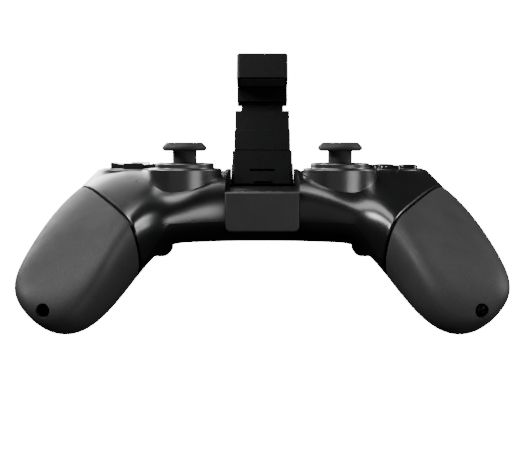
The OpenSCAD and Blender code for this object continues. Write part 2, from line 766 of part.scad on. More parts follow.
module small_button(i) {
    color([0.12, 0.12, 0.12]) translate([small_spots[i][0], small_spots[i][1], 0]) {
        post(0, 0, switch_top + small_travel + slide_gap, small_top, small_r);
        post(0, 0, switch_top + small_travel + slide_gap, small_shoulder, small_r + flange_lip);
    }
}

// Bumpers and triggers
module bumper() {
    color([0.09, 0.09, 0.1]) intersection() {
        form(-bumper_lift, 2, 2, 2 * rows_n);
        brick(bay_x0 + bay_gap, bay_x1 - bay_gap, bumper_front, far, bumper_z, bumper_top);
    }
}
shroud_out = 0.4;
tip_turn = 28;
tuck_share = 0.96;
waist_share = 0.3;
heel_share = 0.55;
finger_r = 16;
finger_in = 0.6;
spring_w = 3.4;
spring_wire_r = 0.35;
spring_r = 2.1;
spring_curls = 3;
module trigger() {
    dy = tip_y - hub_y;
    dz = hub_z - tip_z;
    spring_seat = trigger_x + spring_w;
    in_y = tuck_share * cos(tip_turn);
    in_z = tuck_share * sin(tip_turn);
    x0 = trigger_x;
    x1 = trigger_x + trigger_w;
    low = tip_z - tip_r;
    high = hub_z + hub_r + over + tip_round;
    color([0.08, 0.08, 0.09]) difference() {
        intersection() {
            union() {
                rod([x0, hub_y, hub_z], [x1, hub_y, hub_z], hub_r);
                rod([x0, tip_y, tip_z], [x1, tip_y, tip_z], tip_r);
                side_profile(x0, x1, [
                    [hub_y, shroud_top], [tip_y - tip_r, shroud_top], [tip_y + shroud_out, hub_z - dz / 3],
                    [tip_y + tip_r * in_y, tip_z + tip_r * in_z], [tip_y - tip_r * in_y, tip_z - tip_r * in_z],
                    [hub_y + dy * waist_share, hub_z - dz * heel_share], [hub_y - hub_r * in_y, hub_z - hub_r * in_z]
                ]);
            }
            translate([(x0 + x1) / 2, far / 2, (low + high) / 2]) rotate([90, 0, 0])
                linear_extrude(far) slab(trigger_w, high - low, tip_round);
        }
        translate([x0 - over, tip_y + finger_r + finger_in, tip_z + dz / 2]) rotate([0, 90, 0])
            cylinder(h = trigger_w + 2 * over, r = finger_r, $fn = 96);
        rod([-far, hub_y, hub_z], [far, hub_y, hub_z], pin_r + run_gap);
        rod([trigger_x - over, hub_y, hub_z], [spring_seat, hub_y, hub_z], hub_r + 2 * spring_wire_r);
    }
}
module trigger_pins() {
    color([0.6, 0.6, 0.62]) both_sides() rod([bay_x0 - bay_wall, hub_y, hub_z], [bay_x1 + bay_wall, hub_y, hub_z], pin_r);
}

// Torsion spring: one unbroken wire of eight rings a curl, wound along X about the trigger's pin
spring_pitch = (spring_w - 4 * spring_wire_r) / spring_curls;
function spring_point(i) = [
    trigger_x + 2 * spring_wire_r + spring_pitch * i / 8,
    hub_y + spring_r * cos(45 * i),
    hub_z + spring_r * sin(45 * i)
];
module trigger_spring() {
    last = 8 * spring_curls;
    wire = [for (i = [0:last]) [for (k = [0:5]) let (p = spring_point(i), c = cos(45 * i), s = sin(45 * i))
        [p[0] + spring_wire_r * cos(60 * k), p[1] + spring_wire_r * sin(60 * k) * c, p[2] + spring_wire_r * sin(60 * k) * s]]];
    sides = [for (i = [0:last - 1], k = [0:5]) let (a = 6 * i + k, b = 6 * i + (k + 1) % 6)
        each [[a, b + 6, b], [a, a + 6, b + 6]]];
    color([0.7, 0.7, 0.7]) polyhedron([for (w = wire) each w],
        concat([[for (k = [0:5]) k]], [[for (k = [5:-1:0]) 6 * last + k]], sides));
}

// Phone clamp, drawn in the clamp frame
sleeve_wall = 1.1;
sleeve_side = 1.6;
sleeve_floor = 1.5;
slot_w = 10.2;
slot_h = 0.9;
slot_d = 1;
slot_share = 0.62;
tab_w = 7;
tab_h = 1.6;
tab_out = 0.7;
jaw_round = 1.6;
pad_inset = 1.4;
pad_back = 2.4;
pad_sink = 0.8;
pad_proud = 0.3;
slide_foot = 1;
tongue_gap = 1;
step_share = 0.5;
step_in = 0.3;
tongue_wall = 0.9;
slot_y0 = sleeve_wall + slide_gap + tongue_wall;
module jaw_plan(w) {
    // Plan of a jaw: square at the back, two rounded corners in front
    translate([0, -jaw_reach / 2]) slab(w, jaw_reach, jaw_round);
    translate([-w / 2, -jaw_reach / 2]) square([w, jaw_reach / 2 + sleeve_wall]);
}
module pad_plan(w, grow) {
    translate([0, (pad_inset - jaw_reach - pad_back) / 2])
        slab(w - 2 * pad_inset + 2 * grow, jaw_reach - pad_inset - pad_back + 2 * grow, jaw_round / 2);
}
module clamp_base() {
    color([0.16, 0.16, 0.17]) difference() {
        union() {
            brick(-sleeve_w / 2, sleeve_w / 2, 0, clamp_d, 0, sleeve_t);
            linear_extrude(lower_h) jaw_plan(sleeve_w);
            rod([-sleeve_w / 2, -hinge_u, hinge_t], [sleeve_w / 2, -hinge_u, hinge_t], knuckle_r);
            brick(-tab_w / 2, tab_w / 2, -jaw_reach - tab_out, -jaw_reach / 2, tab_h / 2, tab_h * 3 / 2);
        }
        brick(sleeve_side - sleeve_w / 2, sleeve_w / 2 - sleeve_side, sleeve_wall, clamp_d - sleeve_wall, sleeve_floor, far);
        brick(-slot_w / 2, slot_w / 2, -far, slot_d - jaw_reach, slot_share * lower_h, slot_share * lower_h + slot_h);
        rod([-far, -hinge_u, hinge_t], [far, -hinge_u, hinge_t], hinge_r + run_gap);
        translate([0, 0, lower_h - pad_sink]) linear_extrude(far) pad_plan(sleeve_w, run_gap);
    }
}
module lower_jaw_pad() {
    color([0.04, 0.04, 0.04]) translate([0, 0, lower_h - pad_sink]) linear_extrude(pad_sink + pad_proud) pad_plan(sleeve_w, 0);
}
module middle_slide() {
    tongue_x = sleeve_w / 2 - sleeve_side - slide_gap;
    tongue_y = sleeve_wall + slide_gap;
    low = sleeve_t + key_gap;
    step = low + step_share * (middle_t - low);
    color([0.14, 0.14, 0.15]) difference() {
        union() {
            brick(-middle_w / 2, middle_w / 2, key_gap, clamp_d - key_gap, low, step);
            brick(step_in - middle_w / 2, middle_w / 2 - step_in, key_gap + step_in, clamp_d - key_gap, low, middle_t);
            brick(-tongue_x, tongue_x, tongue_y, clamp_d - tongue_y, sleeve_floor + slide_foot, low + over);
        }
        brick(-tongue_w / 2 - slide_gap, tongue_w / 2 + slide_gap, slot_y0, clamp_d - slot_y0, 0, far);
    }
}
module top_slide() {
    color([0.16, 0.16, 0.17]) difference() {
        union() {
            brick(-tongue_w / 2, tongue_w / 2, slot_y0 + slide_gap, clamp_d - slot_y0 - slide_gap,
                sleeve_floor + slide_foot + tongue_gap, jaw_t - arm_h + over);
            brick(-jaw_w / 2, jaw_w / 2, arm_back, clamp_d - arm_back, jaw_t - arm_h, clamp_top);
            translate([0, 0, jaw_t]) linear_extrude(jaw_h) jaw_plan(jaw_w);
        }
        translate([0, 0, jaw_t - over]) linear_extrude(pad_sink + over) pad_plan(jaw_w, run_gap);
    }
}
module upper_jaw_pad() {
    color([0.04, 0.04, 0.04]) translate([0, 0, jaw_t - pad_proud]) linear_extrude(pad_sink + pad_proud) pad_plan(jaw_w, 0);
}

seated() top_housing();
seated() bottom_housing();
seated() left_grip();
seated() right_grip();
seated() front_block();
seated() clamp_cradle();
seated() other_side() at_stick() stick_pod();  // left_stick_pod
seated() at_stick() stick_pod();  // right_stick_pod
seated() other_side() at_keys() dpad_bezel();
seated() at_keys() button_bezel();
seated() main_board();
seated() battery();
seated() other_side() at_keys() dpad_board();  // left_key_board
seated() at_keys() key_board();  // right_key_board
seated() usb_port();
seated() status_lights();
seated() other_side() at_keys() dpad_membrane();
seated() at_keys() button_membrane();
seated() housing_screws();
seated() grip_screws();
seated() trigger_pins();
seated() clamp_pin();
seated() other_side() at_stick() stick_module();  // left_stick_module
seated() other_side() at_stick() gimbal_ring();  // left_gimbal_ring
seated() other_side() at_stick() gimbal_block();  // left_gimbal_block
seated() other_side() at_stick() stick_stem();  // left_stick_stem
seated() other_side() at_stick() stick_cap();  // left_stick_cap
seated() at_stick() stick_module();  // right_stick_module
seated() at_stick() gimbal_ring();  // right_gimbal_ring
seated() at_stick() gimbal_block();  // right_gimbal_block
seated() at_stick() stick_stem();  // right_stick_stem
seated() at_stick() stick_cap();  // right_stick_cap
seated() other_side() at_keys() dpad_pivot();
seated() other_side() at_keys() dpad_key();  // dpad
seated() at_keys() translate([0, button_ring, 0]) face_button();  // button_rear
seated() at_keys() translate([0, -button_ring, 0]) face_button();  // button_front
seated() at_keys() translate([-button_ring, 0, 0]) face_button();  // button_inner
seated() at_keys() translate([button_ring, 0, 0]) face_button();  // button_outer
seated() other_side() small_button(0);  // select_button
seated() small_button(0);  // start_button
seated() other_side() small_button(1);  // turbo_button
seated() small_button(1);  // home_button
seated() other_side() bumper();  // left_bumper
seated() bumper();  // right_bumper
seated() other_side() trigger();  // left_trigger
seated() trigger();  // right_trigger
seated() other_side() trigger_spring();  // left_trigger_spring
seated() trigger_spring();  // right_trigger_spring
seated() clamp_place() clamp_base();
seated() clamp_place() lower_jaw_pad();
seated() clamp_place() middle_slide();
seated() clamp_place() top_slide();
seated() clamp_place() upper_jaw_pad();
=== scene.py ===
"""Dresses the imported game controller: smooth mouldings, finishes, lights and camera."""

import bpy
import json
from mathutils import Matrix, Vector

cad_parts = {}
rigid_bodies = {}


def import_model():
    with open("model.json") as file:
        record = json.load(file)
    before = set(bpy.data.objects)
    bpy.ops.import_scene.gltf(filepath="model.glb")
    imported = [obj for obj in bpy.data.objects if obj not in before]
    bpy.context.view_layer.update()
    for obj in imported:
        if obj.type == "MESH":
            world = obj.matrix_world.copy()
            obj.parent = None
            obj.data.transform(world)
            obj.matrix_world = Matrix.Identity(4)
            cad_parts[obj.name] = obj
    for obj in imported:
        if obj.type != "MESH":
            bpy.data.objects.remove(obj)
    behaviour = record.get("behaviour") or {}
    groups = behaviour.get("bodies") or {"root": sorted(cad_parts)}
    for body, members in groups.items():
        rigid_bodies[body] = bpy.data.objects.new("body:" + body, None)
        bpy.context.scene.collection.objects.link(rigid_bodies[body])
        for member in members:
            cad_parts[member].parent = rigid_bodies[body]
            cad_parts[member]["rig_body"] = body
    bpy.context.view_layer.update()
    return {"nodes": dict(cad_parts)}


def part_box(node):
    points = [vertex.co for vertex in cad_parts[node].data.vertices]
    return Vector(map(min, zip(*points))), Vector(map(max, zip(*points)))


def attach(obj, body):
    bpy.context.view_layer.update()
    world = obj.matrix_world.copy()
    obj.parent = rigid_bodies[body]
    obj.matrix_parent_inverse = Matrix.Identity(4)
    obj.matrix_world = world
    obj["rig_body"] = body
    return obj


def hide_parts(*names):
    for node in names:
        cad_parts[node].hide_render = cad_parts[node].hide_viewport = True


bl_info = {
    "name": "Game controller dressing",
    "version": (1, 0, 0),
    "blender": (4, 5, 0),
    "location": "View3D > Sidebar > Controller",
    "description": "Builds a game controller's smooth mouldings around its packed solids",
    "category": "Object",
}

import json
import math

import bmesh
import bpy
from bpy.props import FloatProperty, FloatVectorProperty, IntProperty, PointerProperty
from mathutils import Matrix, Vector

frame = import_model()

MM = 0.001
TINY = 1e-6
SNAP = TINY / 10

# Distances outside the housing, in millimetres, to which cutters reach
HIGH, CLEAR, OUTSIDE, WIDE = 40, 60, 90, 150
# Sides of turned pieces and round cutters
ROUND_SIDES, FINE_SIDES, KEY_SIDES, SCREW_SIDES = 48, 96, 64, 40
# Angles from which an edge is rolled over or stays sharp, and under which faces count as one
ROUNDED_ANGLE, SHARP_ANGLE, FLAT_ANGLE = math.radians(30), math.radians(40), math.radians(0.6)

# Housing sizes, in millimetres. The grips' seams lie further out than the solids' and slope
# otherwise
HALF_WIDTH, NOSE_REACH, TAIL_REACH, GRIP_DROP = 79.5, 58.0, 39.0, 57.5
WALL, GRIP_WALL, MOUTH_OVERRUN = 1.8, 2.2, 4
SEAM_X, SEAM_GAP, SEAM_DEPTH = 66.3, 0.8, 1.6
SEAM_TURN, SEAM_DIP = math.radians(31), math.radians(15)
PARTING = ((32, -16), (39.5, -27))

# Front block, the clamp's channel and the room for its hinge
BLOCK_FRONT, BLOCK_BACK, BLOCK_LOW = -13.7, -10.5, -19.7
BLOCK_CORNER, CORNER_STEPS, BLOCK_FIT = 2, 8, 0.05
FLOOR, FLOOR_WALL = -5.6, 1.6
EAR_OUT, CHANNEL_HALF = 14.8, 13.2
HINGE_Y, HINGE_Z, HINGE_ROOM = 31.4, -5.1, 10.8

# Sticks: place, pods, domes about their pivots with arcs in degrees, and outlines as radius and
# height
STICK = Vector((28.7, 0, 0))
POD_HOLE_R, POD_EDGE, POD_SHOULDER = 13.65, 0.45, 2.2
PIVOT_DROP, DOME_R, DOME_WALL = 10, 12.6, 1
POD_OUTLINE = (
    (12.4, -9.5), (13.6, -9.5), (13.6, 2.3), (10.8, 2.3),
    (10.8, 4.3), (9.2, 4.3), (9.2, 0), (12.4, 0),
)
CAP_STEM = ((1.62, -1.4), (3.2, -1.4), (3.2, 1.15))
DOME_INSIDE, DOME_OUTSIDE = (20, 28, 36, 43, 50, 57), (57, 50, 43, 36, 28, 20.5)
CAP_HEAD = (
    (4.4, 8.7), (7.3, 8.75), (8.1, 9.35), (8.2, 9.9), (8.0, 10.4), (6.7, 11.75), (6.2, 11.9),
    (5.6, 11.75), (4.0, 11.55), (2.0, 11.4), (0, 11.35), (0, 6), (1.62, 6),
)

# Key clusters: place, the well and the swell of the deck, the small keys and the face buttons
CLUSTER = Vector((50.4, 22, 0))
WELL_LOW, WELL_R = -9.4, 14.25
COLLAR_TOP, COLLAR_LOW, COLLAR_RIM, COLLAR_REAR, COLLAR_REACH = 1.2, -10.4, 15.2, 16.4, 22
SMALL_KEYS = ((24.4, 17.6), (24.4, 25.2))
SMALL_WELL_LOW, SMALL_WELL_R = -6.6, 2.7
FACE_KEYS = (("rear", 0, 8), ("front", 0, -8), ("inner", -8, 0), ("outer", 8, 0))
KEY_OUTLINE = (
    (0, -3.4), (2.6, -3.4), (2.6, -0.8), (4.8, -0.8), (4.8, 0.2), (4, 0.2),
    (4, 2.35), (3.85, 2.75), (3.4, 3.0), (2.6, 3.12), (1.4, 3.19), (0, 3.2),
)

# Bays of the bumpers and triggers: span across, wall and gap, then outlines and spans in Y and Z
BAY, BAY_WALL, BAY_GAP = (38.3, 55.5), 1.4, 0.3
TRIGGER_ROOM = (
    (24.5, -OUTSIDE), (CLEAR, -OUTSIDE), (CLEAR, -18.6),
    (30.9, -18.6), (30.9, -17.0), (24.5, -17.0),
)
BUMPER_ROOM = (32.3, CLEAR, -17.4, -10.4)
BAY_BLOCK = (
    (23.1, -OUTSIDE), (CLEAR, -OUTSIDE), (CLEAR, -9.7),
    (30.9, -9.7), (30.9, -15.6), (23.1, -15.6),
)
BUMPER_BAR, BUMPER_LIFT = (33.4, CLEAR, -17.1, -10.7), 0.5

# Screws by the places of their seats, their posts, the studs under the board, and outlines of head
# and shank with the cross recess. The front seats are higher than the solids have them
SCREWS = ((21, 32.2, -21.5), (43, -10.5, -29.2))
POST_R, HEAD_HOLE_R = 2.9, 2.25
STUDS, STUD_R, STUD_TOP = ((29, 15), (12, -6.5), (12, 31)), 2, -19
HEAD_R, TIP_HEAD_R = 2.2, 1.95
HEAD_RIM = ((-0.7, -1.6), (-0.1, -1.2), (0, -0.8), (0, 0))
SHANK = ((1.15, 0), (1.15, 8.2), (0.4, 9), (0, 9))
CROSS_HALF, CROSS_THIN, CROSS_HEIGHTS = 1.3, 0.28, (-2, -0.7)

# Grips' ends: the screw, its boss and holes, and the arm that reaches it from the upper shell
TIP_SCREW = (65.7, -38.3)
TIP_FRONT, TIP_SEAT, TIP_SINK = -53.65, -48.85, 2.6
TIP_BOSS_R, TIP_HEAD_HOLE_R, TIP_HOLE_R, TIP_OVERRUN = 4.2, 2.15, 1.25, 0.6
ARM, ARM_R = (Vector((53, -6, -20)), Vector((65.7, -40.45, -38.3))), 5
ARM_LAP = Vector((0, 2.5, 0))

# Points round each station of the outer form
RING = 8
# Stations, middle to grip end: place across, front and rear edge, four corner heights, the deck's
# ridge and the squareness, as shares of the housing sizes
FORM_SHARES = (
    (0.000, -0.224, 1.000, 0.022, 0.030, -0.435, -0.470, 0.333, 0.010, 0.96),
    (0.176, -0.224, 1.000, 0.022, 0.030, -0.435, -0.470, 0.333, 0.010, 0.96),
    (0.314, -0.310, 1.000, -0.035, 0.030, -0.435, -0.470, 0.282, 0.015, 0.95),
    (0.428, -0.362, 1.000, -0.110, 0.035, -0.435, -0.470, 0.256, 0.025, 0.92),
    (0.516, -0.517, 1.000, -0.120, 0.050, -0.580, -0.487, 0.231, 0.055, 0.88),
    (0.606, -0.862, 1.000, -0.300, 0.090, -0.845, -0.504, 0.231, 0.100, 0.84),
    (0.704, -1.000, 1.000, -0.452, 0.110, -0.992, -0.522, 0.231, 0.105, 0.81),
    (0.830, -1.000, 0.949, -0.470, 0.070, -0.983, -0.522, 0.179, 0.025, 0.79),
    (0.943, -0.931, 0.795, -0.452, -0.080, -0.800, -0.504, 0.026, -0.139, 0.77),
    (1.000, -0.724, 0.410, -0.470, -0.226, -0.661, -0.522, -0.256, -0.330, 0.76),
)
# Depths at which a seam's rim is cut again before it is rolled over, as shares of its radius
LIP_SHARES = (1.0, 0.55, 0.25, 0.07)

# The drawing frame, level, is tipped back onto the grip ends. The direction pad's ball gives its
# place
TILT = math.radians(8)
BALL = Vector((-50.4, 22, -3.6)) * MM

# Studio, in metres and watts: the floor, the room, and panels by name, place, size and power
FLOOR_HALF, FLOOR_DROP, FLOOR_GLOW, ROOM_LIGHT, BACKDROP = 6, 0.0002, 16.0, 0.015, 16.0
AIM, OVERHEAD = Vector((0, 0, 0.04)), 0.8
PANELS = (
    ("key_panel", (0.39, -0.52, 0.065), (0.36, 0.08), 0.8),
    ("fill_panel", (0.0, -0.72, 0.12), (1.40, 0.36), 0.4),
    ("side_strip", (0.58, 0.05, 0.25), (0.10, 0.35), 1.3),
    ("left_panel", (-0.60, -0.05, 0.50), (0.20, 0.20), 5.0),
    ("right_panel", (0.60, 0.12, 0.48), (0.16, 0.16), 1.2),
    ("rim_panel", (-0.27, 0.48, 0.14), (0.45, 0.22), 2.6),
    ("top_panel", (-0.155, -0.02, 0.60), (0.23, 0.66), 2.5),
)
# Camera: its lens, its place in the drawing frame, in millimetres, and how many degrees it looks
# down
LENS, SENSOR, SHIFT, NEAREST = 47.7, 36, -6.3 / 512, 0.01
EYE, LOOK_DOWN = Vector((0, -252, 11)), 6.7


def middle(node):
    """The middle of a CAD node's box, in the row frame."""
    low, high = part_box(node)
    return (low + high) / 2


TURN = Matrix.Rotation(-TILT, 4, "X")
SEAT = Matrix.Translation(middle("dpad_pivot") - TURN @ BALL) @ TURN
MIRROR = Matrix.Scale(-1, 4, (1, 0, 0))


# Sizes and colours that a user would change

class ControllerSizes(bpy.types.PropertyGroup):
    """Softness and fineness of the dressed pieces."""

    detail: IntProperty(name="Skin detail", description="Subdivision steps of the outer skin",
                        default=4, min=2, max=5)
    seam_lip: FloatProperty(name="Seam lip", description="Radius rolled over at the grip seams",
                            default=0.0006, unit="LENGTH")
    edge: FloatProperty(name="Edge", description="Width of the softened edges of moulded pieces",
                        default=0.0003, unit="LENGTH")
    block_edge: FloatProperty(name="Block edge", description="Width of the front block's chamfer",
                              default=0.0006, unit="LENGTH")


class ControllerColours(bpy.types.PropertyGroup):
    """Base colours of the finishes."""

    shell: FloatVectorProperty(name="Upper shell", description="Satin upper shell", subtype="COLOR",
                               default=(0.006, 0.006, 0.0065))
    under: FloatVectorProperty(name="Lower shell", description="Matte lower shell", subtype="COLOR",
                               default=(0.004, 0.004, 0.004))
    grip: FloatVectorProperty(name="Grip", description="Textured grip sleeves", subtype="COLOR",
                              default=(0.04, 0.04, 0.0412))
    block: FloatVectorProperty(name="Front block", description="Satin front block", subtype="COLOR",
                               default=(0.055, 0.055, 0.0565))
    clamp: FloatVectorProperty(name="Clamp", description="Matte phone clamp", subtype="COLOR",
                               default=(0.004, 0.004, 0.0041))
    rubber: FloatVectorProperty(name="Rubber", description="Stick caps and jaw pads",
                                subtype="COLOR", default=(0.032, 0.032, 0.033))
    steel: FloatVectorProperty(name="Steel", description="Pins, springs, stems and gimbals",
                               subtype="COLOR", default=(0.52, 0.52, 0.54))


# Finishes

# Shades without a setting of their own
WHITE = (1, 1, 1, 1)
SHADES = {
    "cradle": (0.006, 0.006, 0.007),
    "pod": (0.005, 0.005, 0.0055),
    "key": (0.009, 0.009, 0.010),
    "case": (0.06, 0.06, 0.065),
    "cell": (0.2, 0.24, 0.42),
    "membrane": (0.3, 0.3, 0.31),
    "lens": (0.35, 0.38, 0.42),
    "black_screw": (0.012, 0.012, 0.013),
    "port": (0.62, 0.62, 0.64),
    "mask": (0.01, 0.09, 0.04),
    "copper": (0.05, 0.16, 0.07),
    "paper": (0.9, 0.9, 0.9),
}
# Soft noise: its detail, and the part of its range that is used
NOISE_DETAIL, NOISE_LOW, NOISE_HIGH = 4.0, 0.3, 0.7
# Sockets of a colour mix
MIX_AMOUNT, MIX_DARK, MIX_LIGHT, MIX_RESULT = 0, 6, 7, 2
# Grain: smoothness of its cells and detail of its noise
CELL_SMOOTHNESS, GRAIN_DETAIL = 0.6, 3
# Plastic: scales of its shade and gloss, roughness of its sheen, depth of its grain in metres
SHADE_SCALE, GLOSS_SCALE, SHEEN_ROUGH, GRAIN_DEPTH = 90, 160, 0.4, 0.00006
# Metal: its lines' stretch, scales, spread of shade and gloss, and grain as scale, strength, depth
LINES_STRETCH, LINES_SHADE_SCALE, LINES_GLOSS_SCALE = (0.15, 1, 1), 900, 1500
LINES_LIGHT, LINES_SPREAD, LINES_GRAIN = 0.1, 0.08, (2200, 0.15, 0.00002)
# Board: its tracks, gloss as scale, low and high, and grain as scale, strength and depth
TRACK_SCALE, TRACK_WIDTH, MASK_SHADE = 260, 0.04, 0.8
BOARD_GLOSS, BOARD_GRAIN = (300, 0.25, 0.4), (700, 0.1, 0.00003)
# Paper of the floor: scale and spread of its shade, and its roughness
PAPER_SCALE, PAPER_LIGHT, PAPER_ROUGH = 4, 0.01, 0.9

FINISHES = {}


def node_tree(name):
    """A fresh material, kept by its name: its nodes, links, shader and object coordinates."""
    fresh = FINISHES[name] = bpy.data.materials.new(name)
    fresh.use_nodes = True
    nodes, links = fresh.node_tree.nodes, fresh.node_tree.links
    shader = nodes["Principled BSDF"]
    place = nodes.new("ShaderNodeTexCoord").outputs["Object"]
    return nodes, links, shader, place


def mottle(nodes, links, place, scale, low, high):
    """Soft noise mapped to a range, as a number."""
    noise = nodes.new("ShaderNodeTexNoise")
    noise.inputs["Scale"].default_value = scale
    noise.inputs["Detail"].default_value = NOISE_DETAIL
    links.new(place, noise.inputs["Vector"])
    span = nodes.new("ShaderNodeMapRange")
    span.inputs["From Min"].default_value = NOISE_LOW
    span.inputs["From Max"].default_value = NOISE_HIGH
    span.inputs["To Min"].default_value, span.inputs["To Max"].default_value = low, high
    links.new(noise.outputs["Fac"], span.inputs["Value"])
    return span.outputs["Result"]


def tinted(nodes, links, amount, colour, light):
    """Between two shades of one colour."""
    ramp = nodes.new("ShaderNodeMix")
    ramp.data_type = "RGBA"
    ramp.inputs[MIX_DARK].default_value = (*[c * (1 - light) for c in colour], 1)
    ramp.inputs[MIX_LIGHT].default_value = (*[c * (1 + light) for c in colour], 1)
    links.new(amount, ramp.inputs[MIX_AMOUNT])
    return ramp.outputs[MIX_RESULT]


def relief(nodes, links, place, shader, scale, strength, depth, cells=False):
    """Fine moulded-in grain as a bump."""
    grain = nodes.new("ShaderNodeTexVoronoi" if cells else "ShaderNodeTexNoise")
    grain.inputs["Scale"].default_value = scale
    if cells:
        grain.feature = "SMOOTH_F1"
        grain.inputs["Smoothness"].default_value = CELL_SMOOTHNESS
    else:
        grain.inputs["Detail"].default_value = GRAIN_DETAIL
    links.new(place, grain.inputs["Vector"])
    bump = nodes.new("ShaderNodeBump")
    bump.inputs["Strength"].default_value = strength
    bump.inputs["Distance"].default_value = depth
    links.new(grain.outputs["Distance" if cells else "Fac"], bump.inputs["Height"])
    links.new(bump.outputs["Normal"], shader.inputs["Normal"])


def plastic(name, colour, rough, grain, strength, spread=0.04, light=0.12, specular=0.5,
            sheen=0.0, coat=0.0, coat_rough=0.12, cells=False):
    """Moulded plastic: shade, gloss and grain that vary a little over the surface."""
    nodes, links, shader, place = node_tree(name)
    shade = tinted(nodes, links, mottle(nodes, links, place, SHADE_SCALE, 0, 1), colour, light)
    links.new(shade, shader.inputs["Base Color"])
    gloss = mottle(nodes, links, place, GLOSS_SCALE, rough - spread, rough + spread)
    links.new(gloss, shader.inputs["Roughness"])
    shader.inputs["Specular IOR Level"].default_value = specular
    shader.inputs["Sheen Weight"].default_value = sheen
    shader.inputs["Sheen Roughness"].default_value = SHEEN_ROUGH
    shader.inputs["Coat Weight"].default_value = coat
    shader.inputs["Coat Roughness"].default_value = coat_rough
    relief(nodes, links, place, shader, grain, strength, GRAIN_DEPTH, cells)


def metal(name, colour, rough):
    """Drawn or turned metal with faint lines along it."""
    nodes, links, shader, place = node_tree(name)
    spin = nodes.new("ShaderNodeMapping")
    spin.inputs["Scale"].default_value = LINES_STRETCH
    links.new(place, spin.inputs["Vector"])
    lines = spin.outputs["Vector"]
    streaks = mottle(nodes, links, lines, LINES_SHADE_SCALE, 0, 1)
    links.new(tinted(nodes, links, streaks, colour, LINES_LIGHT), shader.inputs["Base Color"])
    dull, bright = rough + LINES_SPREAD, rough - LINES_SPREAD
    gloss = mottle(nodes, links, lines, LINES_GLOSS_SCALE, bright, dull)
    links.new(gloss, shader.inputs["Roughness"])
    shader.inputs["Metallic"].default_value = 1
    relief(nodes, links, lines, shader, *LINES_GRAIN)


def circuit(name, mask, copper):
    """Solder mask over faint copper tracks."""
    nodes, links, shader, place = node_tree(name)
    tracks = nodes.new("ShaderNodeTexBrick")
    tracks.inputs["Scale"].default_value = TRACK_SCALE
    tracks.inputs["Mortar Size"].default_value = TRACK_WIDTH
    tracks.inputs["Color1"].default_value = (*mask, 1)
    tracks.inputs["Color2"].default_value = (*[c * MASK_SHADE for c in mask], 1)
    tracks.inputs["Mortar"].default_value = (*copper, 1)
    links.new(place, tracks.inputs["Vector"])
    links.new(tracks.outputs["Color"], shader.inputs["Base Color"])
    links.new(mottle(nodes, links, place, *BOARD_GLOSS), shader.inputs["Roughness"])
    relief(nodes, links, place, shader, *BOARD_GRAIN)


def finish(name):
    """A finish made earlier."""
    return FINISHES[name]


# Workshop: blanks, cutters and softened edges

def brick(x0, x1, y0, y1, z0, z1):
    """A box between two corners, in millimetres."""
    bm = bmesh.new()
    bmesh.ops.create_cube(bm, size=1)
    bmesh.ops.scale(bm, vec=Vector((x1 - x0, y1 - y0, z1 - z0)) * MM, verts=bm.verts)
    bmesh.ops.translate(bm, vec=Vector((x0 + x1, y0 + y1, z0 + z1)) / 2 * MM, verts=bm.verts)
    return bm


def cone(a, b, r_start, r_end, sides=ROUND_SIDES):
    """A round bar from a to b whose radius may change along it, in millimetres."""
    a, b = Vector(a), Vector(b)
    run = b - a
    bm = bmesh.new()
    bmesh.ops.create_cone(bm, cap_ends=True, segments=sides, radius1=r_start * MM,
                          radius2=r_end * MM, depth=run.length * MM)
    turn = Vector((0, 0, 1)).rotation_difference(run).to_matrix().to_4x4()
    bmesh.ops.transform(bm, matrix=Matrix.Translation((a + b) / 2 * MM) @ turn, verts=bm.verts)
    return bm


def rod(a, b, r, sides=ROUND_SIDES):
    """A round bar from a to b, in millimetres."""
    return cone(a, b, r, r, sides)


def post(x, y, z0, z1, r, sides=ROUND_SIDES):
    """An upright round bar, in millimetres."""
    return rod((x, y, z0), (x, y, z1), r, sides)


def drawn_out(outline, run):
    """A flat outline, closed and drawn out along a run, in millimetres."""
    bm = bmesh.new()
    face = bm.faces.new([bm.verts.new(Vector(point) * MM) for point in outline])
    drawn = bmesh.ops.extrude_face_region(bm, geom=[face])["geom"]
    far_end = [v for v in drawn if isinstance(v, bmesh.types.BMVert)]
    bmesh.ops.translate(bm, vec=[length * MM for length in run], verts=far_end)
    bmesh.ops.recalc_face_normals(bm, faces=bm.faces)
    return bm


def side_profile(x0, x1, outline):
    """A flat outline in Y and Z drawn out along X, in millimetres."""
    return drawn_out([(x0, y, z) for y, z in outline], (x1 - x0, 0, 0))


def joined(*parts):
    """Several shapes as one."""
    bm = bmesh.new()
    for part in parts:
        scrap = bpy.data.meshes.new("scrap")
        part.to_mesh(scrap)
        part.free()
        bm.from_mesh(scrap)
        bpy.data.meshes.remove(scrap)
    return bm


def flipped(bm):
    """The same shape on the other side."""
    copy = bm.copy()
    bmesh.ops.transform(copy, matrix=MIRROR, verts=copy.verts)
    bmesh.ops.reverse_faces(copy, faces=copy.faces)
    return copy


def on_both_sides(bm):
    """A shape and its mirror image."""
    return joined(bm, flipped(bm))


def moved(bm, offset):
    """A shape moved by millimetres."""
    bmesh.ops.translate(bm, vec=Vector(offset) * MM, verts=bm.verts)
    return bm


def bench(bm):
    """A shape laid on the bench as an object."""
    mesh = bpy.data.meshes.new("blank")
    bm.to_mesh(mesh)
    bm.free()
    blank = bpy.data.objects.new("blank", mesh)
    bpy.context.scene.collection.objects.link(blank)
    return blank


def cleared(blank):
    """Takes a blank and its mesh off the bench."""
    old = blank.data
    bpy.data.objects.remove(blank)
    bpy.data.meshes.remove(old)


def lifted(blank):
    """The blank as it stands with its modifiers, off the bench."""
    bpy.context.view_layer.update()
    depsgraph = bpy.context.evaluated_depsgraph_get()
    mesh = bpy.data.meshes.new_from_object(blank.evaluated_get(depsgraph))
    bm = bmesh.new()
    bm.from_mesh(mesh)
    cleared(blank)
    bpy.data.meshes.remove(mesh)
    return bm


